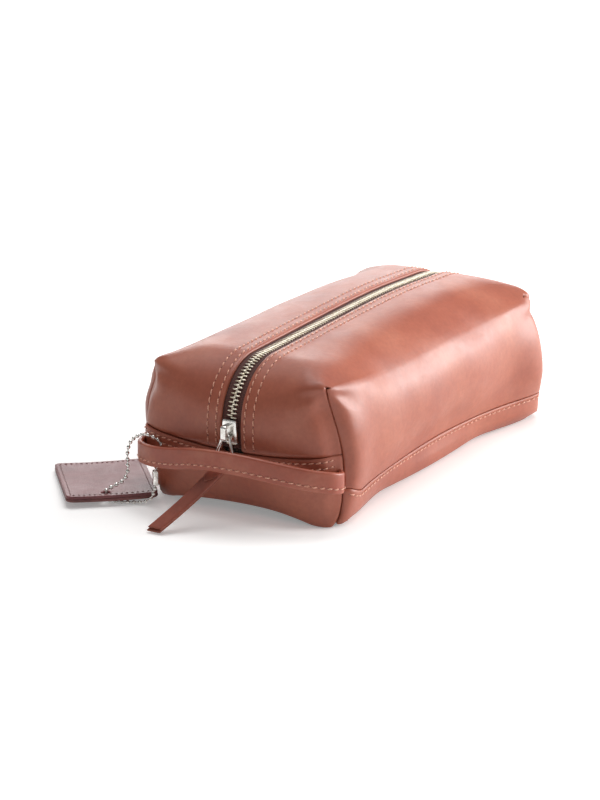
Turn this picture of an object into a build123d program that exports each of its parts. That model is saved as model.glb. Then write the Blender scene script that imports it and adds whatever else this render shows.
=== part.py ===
from build123d import *
import os
from math import acos, atan2, cos, degrees, hypot, radians, sin, tan

# A boxed leather toiletry bag, millimetres, resting on its base.
# +X runs along the bag and the wrist strap is at the -X end, +Y is the side of the hang tag,
# +Z is up, and the origin is the centre of the base.

# Outer form of the stuffed bag
corner_x = 118.0  # from the middle to the vertical corner seams, along the bag
corner_y = 60.0  # from the middle to the corner seams, across the bag
side_bulge = 5.5  # the long sides stand this far past the corner seams
strap_end_radius = 37.0  # rounding of the strap end, seen from the side
strap_end_center = (-98.0, 51.0)
far_end_radius = 40.0
far_end_center = (95.0, 53.5)
end_lean = 11.0  # degrees that the ends lean in towards the base
shoulder_height = 80.0  # top corners
crown_height = 97.0  # crest of the arc across the top, above the flat zip strip
end_bulge_margin = 1.0  # the plan's end arc clears the zip line by this much
plan_corner_radius = 8.0
base_edge_radius = 9.0
base_edge_drop = 0.4  # the long sides' rounding would end this far under the flat base
top_edge_radius = 12.0

# Leather, lining and board
leather = 1.8
lining = 0.6
lining_gap = 0.4
board = 2.0
side_seam_height = 17.5
band_height = 43.0
base_turn_up = 2.4  # the base runs under the end bands up to this height
seam_plane = 114.0  # the side pieces meet the end bands here
binding = 0.8
binding_bottom = 22.0
binding_top = 74.0
binding_reach = 10.0

# Zip
window = 12.0  # leather to leather
tape_width = 13.1
tape = 0.6
tape_gap = 0.1  # under the leather
tape_split = 0.9  # from the centre line to the edge of each tape
tape_end_height = 42.0
tooth_pitch = 2.5
tooth_length = 1.05
tooth_reach = 3.0
tooth_hook = 0.6
tooth_height = 2.4
tooth_slot_play = 0.05
stop_length = 1.3
stop_grip = 0.35  # metal inside the tape's edge
bottom_stop_length = 3.2

# Slider, its crown, pull ring and leather tab
slider_play = 0.3
slider_plate = 1.3
slider_half_length = 6.07
slider_shoulder = 4.9
slider_neck = 4.0
slider_lip = 1.1
post_half_width = 0.55
post_angles = (-9.0, -2.5)
crown_width = 3.2
crown_reach = 6.4
crown_wall = 1.5
crown_span = (-4.0, 4.6)
lock_spring = 0.35
ring_wire = 1.7
ring_height = 17.0
ring_top_width = 6.2
ring_bottom_width = 14.0
ring_tilt = 10.5  # degrees out from the end wall
ring_corner = 1.7
ring_seat = (3.2, -1.2)  # out from the zip line and up from the slider's middle
tab_width = 8.8
tab_layer = 1.4
tab_fold_play = 0.3
tab_throw = 41.5  # the tab's foot, out from the end wall
tab_foot_y = 24.0
tab_foot_z = 1.55

# Wrist strap
strap_height = 12.0
strap_thickness = 3.0
strap_rise = 12.6  # the middle stands this far above the ends
strap_root_height = 27.4
strap_root_y = 58.5
strap_stand = 13.5  # out from the end wall
strap_flat = (-26.0, 24.0)  # the route runs straight between these
strap_skew = 0.8
strap_corner_out = (2.2, 4.8)  # how far the two corners stand out from the pivot line
strap_corner_past = (1.0, 5.5)  # and past the strap's ends
strap_cut_share = 1.2  # the arc from the end view runs on past the corner seams
strap_bends = [9.0, 34.0, 34.0, 8.0]
strap_gap = 0.3  # from the leather at its two ends
core_height = 7.0
core_thickness = 0.6
core_play = 0.05

# Ball chain and hang tag
ball = 2.4
ball_pitch = 3.5
link_wire = 0.8
link_play = 0.03  # between a wire's end and its ball
coupling_bore = 3.0
coupling_wall = 0.5
coupling_foot = (-137.5, 46.8, 12.8)
coupling_length = 8.6
tag_length = 70.0
tag_width = 52.0
tag_layer = 1.7
tag_corner_radius = 4.0
tag_turn = -50.0  # degrees, heading of the front edge
tag_corner = (-166.0, 88.0)  # front left corner on the floor plan
tag_front_lift = 3.0  # the front edge lies on the chain
tag_back_lift = 0.15
tag_hole = 5.2
tag_hole_place = (23.0, 6.4)  # along and in from the front edge

# A box this large reaches past every piece
far = 400.0


def along_x(sketch, low, high):
    return extrude(Plane.YZ.offset(low) * sketch, amount=high - low)


def along_y(sketch, low, high):
    return extrude(Plane.XZ.offset(-low) * sketch, amount=low - high)


def along_z(sketch, low, high):
    return extrude(Plane.XY.offset(low) * sketch, amount=high - low)


def block(x_range, y_range, z_range):
    size = [high - low for low, high in (x_range, y_range, z_range)]
    middle = [(high + low) / 2 for low, high in (x_range, y_range, z_range)]
    return Pos(*middle) * Box(*size)


def on_circle(center, radius, degrees):
    return (
        center[0] + radius * cos(radians(degrees)),
        center[1] + radius * sin(radians(degrees)),
    )


# The straight top line touches both end arcs, so its normal leans by the difference of the radii
center_gap = (
    far_end_center[0] - strap_end_center[0],
    far_end_center[1] - strap_end_center[1],
)
center_distance = hypot(*center_gap)
top_normal = degrees(
    atan2(center_gap[1], center_gap[0])
    + acos((strap_end_radius - far_end_radius) / center_distance)
)
strap_end_x = strap_end_center[0] - strap_end_radius
strap_reach = strap_stand - strap_end_x
tab_foot = (strap_end_x - tab_throw, tab_foot_y, tab_foot_z)
far_end_x = far_end_center[0] + far_end_radius


def length_profile(inset):
    """Seen from the long side: leaning ends, round shoulders and a straight rising top."""
    near_radius = strap_end_radius - inset
    far_radius = far_end_radius - inset
    foot_angle = 180.0 + end_lean
    low_left = on_circle(strap_end_center, near_radius, foot_angle)
    top_left = on_circle(strap_end_center, near_radius, top_normal)
    top_right = on_circle(far_end_center, far_radius, top_normal)
    low_right = on_circle(far_end_center, far_radius, -end_lean)
    slope = tan(radians(end_lean))
    foot_left = (low_left[0] + (low_left[1] - inset) * slope, inset)
    foot_right = (low_right[0] - (low_right[1] - inset) * slope, inset)
    mid_left = on_circle(strap_end_center, near_radius, (foot_angle + top_normal) / 2)
    mid_right = on_circle(far_end_center, far_radius, (top_normal - end_lean) / 2)
    outline = (
        Line(foot_left, low_left)
        + ThreePointArc(low_left, mid_left, top_left)
        + Line(top_left, top_right)
        + ThreePointArc(top_right, mid_right, low_right)
        + Line(low_right, foot_right)
        + Line(foot_right, foot_left)
    )
    face = make_face(outline)
    return fillet(face.vertices().group_by(Axis.Y)[0], base_edge_radius - inset)


def width_profile(inset):
    """Seen from the end: bulged sides and a crowned top."""
    foot = (corner_y - side_bulge / 2 - inset, inset - base_edge_drop)
    waist = (corner_y + side_bulge - inset, shoulder_height / 2)
    shoulder = (corner_y - inset, shoulder_height - inset)
    crest = (0.0, crown_height - inset)
    outline = (
        ThreePointArc(foot, waist, shoulder)
        + ThreePointArc(shoulder, crest, (-shoulder[0], shoulder[1]))
        + ThreePointArc((-shoulder[0], shoulder[1]), (-waist[0], waist[1]), (-foot[0], foot[1]))
        + Line((-foot[0], foot[1]), foot)
    )
    face = make_face(outline)
    face = fillet(face.vertices().group_by(Axis.Y)[0], base_edge_radius - inset)
    return fillet(face.vertices().group_by(Axis.Y)[-1], top_edge_radius - inset)


def plan_profile(inset):
    """Seen from above: bulged sides and ends between four tucked corners."""
    x, y = corner_x - inset, corner_y - inset
    side = y + side_bulge
    near_end = strap_end_x - end_bulge_margin + inset
    far_end = far_end_x + end_bulge_margin - inset
    outline = (
        ThreePointArc((-x, -y), (0.0, -side), (x, -y))
        + ThreePointArc((x, -y), (far_end, 0.0), (x, y))
        + ThreePointArc((x, y), (0.0, side), (-x, y))
        + ThreePointArc((-x, y), (near_end, 0.0), (-x, -y))
    )
    face = make_face(outline)
    return fillet(face.vertices(), plan_corner_radius - inset)


def body(inset):
    """The bag's form with every surface moved in by inset."""
    side = along_y(length_profile(inset), -far, far)
    end = along_x(width_profile(inset), -far, far)
    return side & end & along_z(plan_profile(inset), -far, far)


outer_form = body(0)
leather_form = body(leather)
tape_outer = leather + tape_gap
lining_outer = leather + lining_gap
board_top = lining_outer + board
all_x = (-far, far)
all_y = (-far, far)


def shell(outer, inner):
    return body(outer) - body(inner)


leather_shell = outer_form - leather_form
side_zone = block((-seam_plane, seam_plane), all_y, (side_seam_height, far))
end_zone = block(all_x, all_y, (band_height, far))


def half(side, edge):
    """Everything on one side of the zip, beyond a distance from the centre line; side is 1 or -1."""
    low, high = sorted((side * edge, side * far))
    return block(all_x, (low, high), (-far, far))


def leather_panel(side):
    """Half of the top, one long side and a quarter at each end, in one piece of leather."""
    return leather_shell & (side_zone + end_zone) & half(side, window / 2)


def base_panel():
    """The bottom with its turned-up long sides; under the end bands it stops at the rounding."""
    middle = block((-seam_plane, seam_plane), all_y, (-far, side_seam_height))
    ends = block(all_x, all_y, (-far, base_turn_up))
    return leather_shell & (middle + ends)


def end_band(direction):
    low, high = sorted((direction * seam_plane, direction * far))
    return leather_shell & block((low, high), all_y, (base_turn_up, band_height))


def lining_panel(side):
    """Fabric behind one leather panel; beside the zip it ends at the tape's outer edge."""
    edge = tape_split + tape_width + lining_gap
    upper = half(side, edge)
    lower = half(side, 0.0) & block(all_x, all_y, (-far, tape_end_height - lining_gap))
    fabric = shell(lining_outer, lining_outer + lining)
    return fabric & (upper + lower) & block(all_x, all_y, (board_top + lining_gap, far))


def base_board():
    return body(lining_outer) & block(all_x, all_y, (-far, board_top))


def base_lining():
    low = board_top + lining_gap
    return body(lining_outer + lining + lining_gap) & block(all_x, all_y, (low, low + lining))


def corner_bindings():
    """Bias strips over the seam allowances inside the four vertical corners."""
    depth = lining_outer + lining + tape_gap
    strip = shell(depth, depth + binding)
    corners = []
    for sx in (-1, 1):
        for sy in (-1, 1):
            x_range = sorted((sx * (corner_x - binding_reach), sx * far))
            y_range = sorted((sy * (corner_y - binding_reach), sy * far))
            corners += (strip & block(x_range, y_range, (binding_bottom, binding_top))).solids()
    return Compound(corners)


def zip_tape(side):
    inner = tape_split
    low, high = sorted((side * inner, side * (inner + tape_width)))
    strip = shell(tape_outer, tape_outer + tape)
    return strip & block(all_x, (low, high), (tape_end_height, far))


# The zip line runs in the middle of the tapes, over the strap end, along the top and down the far end
zip_depth = tape_outer + tape / 2
near_zip_radius = strap_end_radius - zip_depth
slider_half_angle = degrees(slider_half_length / near_zip_radius)
far_zip_radius = far_end_radius - zip_depth
top_run = (center_distance**2 - (strap_end_radius - far_end_radius) ** 2) ** 0.5


def zip_frame(distance):
    """Place on the zip line: distance is from the level of the strap end's centre; Z points outwards."""
    near_arc = near_zip_radius * radians(180.0 - top_normal)
    if distance < near_arc:
        angle = 180.0 - degrees(distance / near_zip_radius)
        x, z = on_circle(strap_end_center, near_zip_radius, angle)
    elif distance < near_arc + top_run:
        angle = top_normal
        start = on_circle(strap_end_center, near_zip_radius, angle)
        ahead = distance - near_arc
        x = start[0] + ahead * sin(radians(angle))
        z = start[1] - ahead * cos(radians(angle))
    else:
        past = (distance - near_arc - top_run) / far_zip_radius
        angle = top_normal - degrees(past)
        x, z = on_circle(far_end_center, far_zip_radius, angle)
    outward = (cos(radians(angle)), 0, sin(radians(angle)))
    return Plane(origin=(x, 0, z), x_dir=(sin(radians(angle)), 0, -cos(radians(angle))), z_dir=outward)


def zip_length():
    return near_zip_radius * radians(180.0 - top_normal) + top_run + far_zip_radius * radians(top_normal)


def clamp(length, hook, reach, side):
    """A metal block gripping one tape edge: hook crosses the centre line, reach holds the tape."""
    low, high = sorted((-side * hook, side * reach))
    slot_low, slot_high = sorted((side * (tape_split - tooth_slot_play), side * 2 * reach))
    half_length, half_height = length / 2, tooth_height / 2
    solid = block((-half_length, half_length), (low, high), (-half_height, half_height))
    slot_half = tape / 2 + tooth_slot_play
    return solid - block((-length, length), (slot_low, slot_high), (-slot_half, slot_half))


def zip_teeth(side):
    """One row of teeth; the two rows are half a pitch apart and hook past the centre line."""
    first = tooth_pitch / 4 + (tooth_pitch / 2 if side > 0 else 0.0)
    tooth = clamp(tooth_length, tooth_hook, tooth_reach, side)
    count = int((zip_length() - first) / tooth_pitch)
    return Compound([(zip_frame(first + i * tooth_pitch).location * tooth).solid() for i in range(count)])


def top_stops():
    """Two stops under the closed slider, one on each tape."""
    below = slider_half_length + slider_play + stop_length / 2
    place = zip_frame(-below).location
    hook = stop_grip - tape_split
    return Compound([(place * clamp(stop_length, hook, tooth_reach, s)).solid() for s in (-1, 1)])


def bottom_stop():
    """One stop at the far end, holding both tapes."""
    half_length, half_height = bottom_stop_length / 2, tooth_height / 2
    solid = block((-half_length, half_length), (-tooth_reach, tooth_reach), (-half_height, half_height))
    slot_half = tape / 2 + tooth_slot_play
    for side in (-1, 1):
        edge = sorted((side * (tape_split - tooth_slot_play), side * 2 * tooth_reach))
        solid -= block((-bottom_stop_length, bottom_stop_length), edge, (-slot_half, slot_half))
    place = zip_frame(zip_length() + bottom_stop_length)
    return place.location * solid


def sector(inner, outer, low_angle, high_angle, half_width):
    """Part of a ring about the strap end's centre; angles run up from the level of that centre."""
    ring = Circle(outer) - Circle(inner)
    corners = [on_circle((0, 0), far, 180.0 - a) for a in (low_angle, high_angle)]
    wedge = make_face(Polyline((0, 0), *corners, close=True))
    return along_y(Pos(*strap_end_center) * (ring & wedge), -half_width, half_width)


teeth_inner = near_zip_radius - tooth_height / 2
teeth_outer = near_zip_radius + tooth_height / 2
channel_inner = teeth_inner - slider_play
channel_outer = teeth_outer + slider_play
slider_face = channel_outer + slider_plate


def slider_body():
    """Two curved plates with side lips, joined by the post that parts the tapes."""
    sweep = (-slider_half_angle, slider_half_angle)
    wide = slider_shoulder
    plates = sector(channel_outer, slider_face, *sweep, wide)
    plates += sector(channel_inner - slider_plate, channel_inner, *sweep, wide)
    lips = sector(near_zip_radius + tape / 2 + slider_play, channel_outer, *sweep, wide)
    lips += sector(channel_inner, near_zip_radius - tape / 2 - slider_play, *sweep, wide)
    lips -= block(all_x, (slider_lip - slider_shoulder, slider_shoulder - slider_lip), (-far, far))
    post = sector(channel_inner, channel_outer, *post_angles, post_half_width)
    foot, head = [strap_end_center[1] + slider_face * sin(radians(a)) for a in sweep]
    waist = foot + (head - foot) / 3
    side = [(slider_shoulder, foot - 1), (slider_shoulder, waist), (slider_neck, head + 1)]
    outline = make_face(Polyline(*side, *[(-y, z) for y, z in reversed(side)], close=True))
    return (plates + lips + post) & along_x(outline, -far, 0)


def slider_crown():
    """The arch on the slider's outer plate that carries the pull ring."""
    face_x = strap_end_center[0] - slider_face
    low, high = [strap_end_center[1] + s for s in crown_span]
    arch = block((face_x - crown_reach, face_x + 1), (-crown_width / 2, crown_width / 2), (low, high))
    arch = fillet(arch.edges().filter_by(Axis.Y).group_by(Axis.X)[0], crown_wall)
    opening = block(
        (face_x - crown_reach + crown_wall, face_x + 1), all_y, (low + crown_wall, high - crown_wall)
    )
    return arch - opening - sector(0.1, slider_face, -45, 45, crown_width)


def slider_lock_spring():
    """A leaf inside the crown's roof."""
    roof_x = strap_end_center[0] - slider_face - crown_reach + crown_wall
    low, high = [strap_end_center[1] + s for s in crown_span]
    play = lock_spring / 2
    return block(
        (roof_x + play, roof_x + play + lock_spring),
        (-crown_width / 2 + play, crown_width / 2 - play),
        (low + crown_wall + play, high - crown_wall - play),
    )


ring_top = (strap_end_x - ring_seat[0], strap_end_center[1] + ring_seat[1])
ring_drop = (-sin(radians(ring_tilt)), -cos(radians(ring_tilt)))
ring_foot = (ring_top[0] + ring_height * ring_drop[0], ring_top[1] + ring_height * ring_drop[1])


def pull_ring():
    """A wire loop through the crown, narrow at the top and wide where the tab hangs."""
    plane = Plane(
        origin=(ring_top[0], 0, ring_top[1]), x_dir=(0, 1, 0), z_dir=(ring_drop[1], 0, -ring_drop[0])
    )
    down = -1 if plane.y_dir.Z > 0 else 1
    top, bottom = ring_top_width / 2, ring_bottom_width / 2
    corners = [(0, 0), (top, 0), (bottom, down * ring_height), (-bottom, down * ring_height), (-top, 0)]
    loop = plane * make_face(Polyline(*corners[1:], close=True))
    loop = fillet(loop.vertices(), ring_corner)
    path = loop.face().outer_wire()
    start = path @ 0
    return sweep(Plane(origin=start, z_dir=path % 0) * Circle(ring_wire / 2), path=path)


tab_start = Vector(ring_foot[0], 0, ring_foot[1])
tab_run = (Vector(*tab_foot) - tab_start).normalized()


tab_bore = ring_wire / 2 + tab_fold_play
tab_fold = tab_bore + tab_layer
tab_slant = hypot(tab_run.X, tab_run.Z)
level = Vector(0, 1, 0)
across_foot = Vector(tab_run.Y, -tab_run.X, 0).normalized()


def tab_section(point, side, low, high):
    """The outline of one layer across the tab, from low to high through its thickness."""
    thick = tab_run.cross(side).normalized()
    ends = ((-1, low), (1, low), (1, high), (-1, high))
    corners = [point + side * (tab_width / 2 * s) + thick * t for s, t in ends]
    return Wire.make_polygon([tuple(c) for c in corners], close=True)


def tab_strip(low, high):
    """A layer that leaves the fold level and turns to lie flat across its run at the foot."""
    top = tab_section(tab_start + tab_run * (tab_fold / tab_slant), level, low, high)
    return Solid.make_loft([top, tab_section(Vector(*tab_foot), across_foot, low, high)], ruled=True)


def pull_tab_front():
    """The outer layer with the fold round the ring."""
    fold = along_y(Circle(tab_fold) - Circle(tab_bore), -tab_width / 2, tab_width / 2)
    ends = [tab_start + tab_run * (reach / tab_slant) for reach in (tab_bore + tab_layer / 2, tab_fold)]
    neck = Solid.make_loft([tab_section(end, level, -tab_layer, 0) for end in ends], ruled=True)
    return Pos(ring_foot[0], 0, ring_foot[1]) * fold + neck + tab_strip(-tab_layer, 0)


def pull_tab_back():
    return tab_strip(0, tab_layer)


def root_face_x():
    """How far the leather reaches at the height of a strap's end, within the strap's thickness."""
    slice_width = strap_thickness + strap_gap
    edge = plan_profile(0) & Pos(0, strap_root_y) * Rectangle(2 * far, slice_width)
    return edge.bounding_box().min.X


strap_tip_x = root_face_x() - strap_gap
strap_pivot_x = strap_tip_x - strap_height / 2
strap_route = [
    (strap_tip_x, -strap_root_y),
    (strap_pivot_x - strap_corner_out[0], -strap_root_y - strap_corner_past[0]),
    (strap_skew - strap_reach, strap_flat[0]),
    (-strap_reach, strap_flat[1]),
    (strap_pivot_x - strap_corner_out[1], strap_root_y + strap_corner_past[1]),
    (strap_tip_x, strap_root_y),
]


def strap_ribbon(thickness, height):
    """A standing ribbon along the route from above, cut to the arc that it follows seen from the end."""
    path = FilletPolyline(*strap_route, radius=strap_bends)
    plan = make_face(path.offset_2d(thickness / 2, side=Side.BOTH, closed=True))
    foot, crest = strap_root_height, strap_root_height + strap_rise
    ends = corner_y * strap_cut_share
    drop = foot - strap_rise * (ends**2 / strap_root_y**2 - 1)
    middle = ThreePointArc((-ends, drop), (0, crest), (ends, drop))
    arc_band = make_face(Wire([middle]).offset_2d(height / 2, side=Side.BOTH, closed=True))
    return along_z(plan, -far, far) & along_x(arc_band, -far, far)


def strap_ends_kept(radius):
    """Round about the pivot line, so that the ends turn in place beside the seams."""
    pivot = along_y(Pos(strap_pivot_x, strap_root_height) * Circle(radius), -far, far)
    return block((-far, strap_pivot_x), all_y, (-far, far)) + pivot


def handle_core():
    """A stiff tape between the two leather layers."""
    return strap_ribbon(core_thickness, core_height) & strap_ends_kept(core_height / 2)


def handle_strap():
    cavity = strap_ribbon(core_thickness + 2 * core_play, core_height + 2 * core_play)
    cavity &= strap_ends_kept(core_height / 2 + core_play)
    return (strap_ribbon(strap_thickness, strap_height) & strap_ends_kept(strap_height / 2)) - cavity


# The chain's loop: up from the tag's hole, round the strap, through the coupling and back under the tag
chain_route = [
    (-146.2, 74.3, 7.4),
    (-144.8, 70.4, 10.2),
    (-142.0, 65.8, 13.4),
    (-140.2, 63.8, 18.5),
    (-139.2, 64.3, 24.5),
    (-138.6, 64.6, 30.0),
    (-138.4, 62.6, 35.8),
    (-139.0, 58.0, 40.0),
    (-139.0, 53.2, 41.8),
    (-136.2, 49.8, 40.6),
    (-132.4, 47.8, 37.2),
    (-130.2, 46.8, 32.2),
    (-131.2, 46.6, 27.2),
    (-134.8, 46.7, 23.9),
]
chain_return = [
    (-137.4, 48.6, 7.6),
    (-138.0, 51.0, 3.4),
    (-139.8, 56.4, ball / 2 + 0.4),
    (-143.2, 64.6, ball / 2 + 0.25),
    (-145.7, 72.0, ball / 2 + 0.4),
    (-146.5, 74.6, 3.9),
]


# Places inside the coupling, from its top down
coupling_shares = (0.95, 0.65, 0.35, 0.05)


def chain_path():
    """One closed smooth line; it is straight inside the coupling."""
    x, y, z = coupling_foot
    through = [(x, y, z + coupling_length * share) for share in coupling_shares]
    return Spline(*chain_route, *through, *chain_return, periodic=True)


def ball_chain():
    """Balls at an even pitch along the loop; a short wire stands between each ball and the next."""
    path = chain_path()
    count = round(path.length / ball_pitch)
    centers = [path @ (i / count) for i in range(count)]
    pieces = [(Pos(*center) * Sphere(ball / 2)).solid() for center in centers]
    for start, end in zip(centers, centers[1:] + centers[:1]):
        run = end - start
        reach = ball / 2 + link_play
        origin = start + run.normalized() * reach
        wire = Cylinder(link_wire / 2, run.length - 2 * reach, align=(Align.CENTER, Align.CENTER, Align.MIN))
        pieces.append((Plane(origin=origin, z_dir=run) * wire).solid())
    return Compound(pieces)


def chain_coupling():
    x, y, z = coupling_foot
    sleeve = Circle(coupling_bore / 2 + coupling_wall) - Circle(coupling_bore / 2)
    return Pos(x, y, 0) * along_z(sleeve, z, z + coupling_length)


tag_slope = (tag_front_lift - tag_back_lift) / tag_length
tag_across = (cos(radians(tag_turn)), sin(radians(tag_turn)), 0.0)
tag_back = Vector(-tag_across[1], tag_across[0], -tag_slope).normalized()
tag_normal = Vector(*tag_across).cross(tag_back)


def tag_piece(low, high):
    """A rounded rectangle of leather with the chain's hole near the front edge."""
    plane = Plane(origin=(*tag_corner, tag_front_lift), x_dir=tag_across, z_dir=tag_normal)
    sheet = Pos(tag_width / 2, tag_length / 2) * RectangleRounded(tag_width, tag_length, tag_corner_radius)
    sheet -= Pos(*tag_hole_place) * Circle(tag_hole / 2)
    return extrude(plane.offset(low) * sheet, amount=high - low)


def write(name, shape):
    solids = shape.solids()
    kept = solids[0] if len(solids) == 1 else Compound(solids)
    export_step(kept, f"parts/{name}.step")
    print(name, len(solids), round(sum(s.volume for s in solids)))


os.makedirs("parts", exist_ok=True)
write("right_panel", leather_panel(-1))
write("left_panel", leather_panel(1))
write("base_panel", base_panel())
write("strap_end_band", end_band(-1))
write("far_end_band", end_band(1))
write("right_lining", lining_panel(-1))
write("left_lining", lining_panel(1))
write("base_board", base_board())
write("base_lining", base_lining())
write("corner_bindings", corner_bindings())
write("zip_tape_right", zip_tape(-1))
write("zip_tape_left", zip_tape(1))
write("zip_teeth_right", zip_teeth(-1))
write("zip_teeth_left", zip_teeth(1))
write("zip_top_stops", top_stops())
write("zip_bottom_stop", bottom_stop())
write("slider_body", slider_body())
write("slider_crown", slider_crown())
write("slider_lock_spring", slider_lock_spring())
write("pull_ring", pull_ring())
write("pull_tab_front", pull_tab_front())
write("pull_tab_back", pull_tab_back())
write("handle_strap", handle_strap())
write("handle_core", handle_core())
write("ball_chain", ball_chain())
write("chain_coupling", chain_coupling())
write("tag_back", tag_piece(0, tag_layer))
write("tag_front", tag_piece(tag_layer, 2 * tag_layer))

# Places of the joints
print("slider pivot", strap_end_center, "strap pivot", round(strap_pivot_x, 3), strap_root_height)
print("ring pivot", [round(v, 3) for v in ring_top], "tab pivot", [round(v, 3) for v in ring_foot])
print("tag across", [round(v, 4) for v in tag_across], "chain length", round(chain_path().length, 1))
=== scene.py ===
from math import acos, atan2, cos, degrees, hypot, pi, radians, sin, tan

import bpy
import numpy as np
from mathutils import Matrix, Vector


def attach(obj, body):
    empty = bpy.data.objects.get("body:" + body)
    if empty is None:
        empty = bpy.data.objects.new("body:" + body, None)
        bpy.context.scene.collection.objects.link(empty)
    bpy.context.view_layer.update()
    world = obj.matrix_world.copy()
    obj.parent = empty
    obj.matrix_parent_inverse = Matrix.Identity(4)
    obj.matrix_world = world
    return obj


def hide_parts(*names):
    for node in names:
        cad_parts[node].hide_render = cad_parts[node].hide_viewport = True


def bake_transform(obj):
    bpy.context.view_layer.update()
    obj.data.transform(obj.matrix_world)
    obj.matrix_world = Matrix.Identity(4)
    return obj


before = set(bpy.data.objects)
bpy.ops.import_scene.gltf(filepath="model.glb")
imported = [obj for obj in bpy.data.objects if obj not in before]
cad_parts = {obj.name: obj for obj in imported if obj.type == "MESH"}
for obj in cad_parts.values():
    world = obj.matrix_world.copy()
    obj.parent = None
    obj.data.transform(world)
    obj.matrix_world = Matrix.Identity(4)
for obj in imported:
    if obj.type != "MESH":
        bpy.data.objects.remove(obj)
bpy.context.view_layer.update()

# A boxed leather toiletry bag with a zip, a wrist strap and a hang tag on a ball chain.
# Lengths are worked out in millimetres, and put() turns them into metres.
mm = 0.001
bpy.context.scene.view_settings.view_transform = "Standard"

# Camera, at the photograph's angle
view = {"azimuth": -59.8, "elevation": 17.25, "distance": 1859.7, "target": (-18.93, 22.83, 34.31),
        "lens": 143.6}


def makeCamera(v):
    # stands on a sphere about the target and looks at its centre
    turn, lift = radians(v["azimuth"]), radians(v["elevation"])
    back = Vector((sin(turn) * cos(lift), -cos(turn) * cos(lift), sin(lift)))
    camera = bpy.data.objects.new("camera", bpy.data.cameras.new("camera"))
    bpy.context.scene.collection.objects.link(camera)
    camera.data.lens = v["lens"]
    camera.data.clip_start = 0.05
    camera.location = (Vector(v["target"]) + back * v["distance"]) * mm
    camera.rotation_euler = (-back).to_track_quat("-Z", "Y").to_euler()
    bpy.context.scene.camera = camera


makeCamera(view)
print("camera ready")

# Materials


def toLinear(hexCode):
    # sRGB hex to the linear colour that a shader takes
    parts = [int(hexCode[i:i + 2], 16) / 255 for i in (1, 3, 5)]
    line = [p / 12.92 if p <= 0.04045 else ((p + 0.055) / 1.055) ** 2.4 for p in parts]
    return (*line, 1.0)


def newMaterial(name):
    # an empty node material and its tree
    material = bpy.data.materials.new(name)
    material.use_nodes = True
    material.node_tree.nodes.clear()
    return material, material.node_tree


def addNode(tree, kind, settings=None, inputs=None):
    # one node: settings are its properties, inputs are values or (node, output) links
    node = tree.nodes.new("ShaderNode" + kind)
    for key, value in (settings or {}).items():
        setattr(node, key, value)
    for key, value in (inputs or {}).items():
        if isinstance(value, tuple) and len(value) == 2 and hasattr(value[0], "outputs"):
            tree.links.new(value[0].outputs[value[1]], node.inputs[key])
        else:
            node.inputs[key].default_value = value
    return node


def rampStops(node, stops):
    # stops are (place, colour) pairs, at least two
    ramp = node.color_ramp
    while len(ramp.elements) < len(stops):
        ramp.elements.new(0.5)
    for element, (place, colour) in zip(ramp.elements, stops):
        element.position = place
        element.color = colour
    return node


def finishMaterial(tree, shader):
    # joins the shader to the material's output
    addNode(tree, "OutputMaterial", inputs={"Surface": (shader, 0)})


def grey(value):
    # a neutral linear colour
    return (value, value, value, 1.0)


# metres of pattern per millimetre of leather: a noise scale of 1000/size gives cells of that size
def perMetre(sizeInMm):
    return 1000.0 / sizeInMm


leatherLook = {
    "base": "#A75A43", "light": "#B56B53", "dark": "#994D38",
    "cloud": 46.0, "grain": 0.9, "pore": 2.6, "crease": 14.0,
    "roughness": (0.36, 0.48), "bump": 0.16, "shine": 0.55, "coat": 0.08,
}


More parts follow.
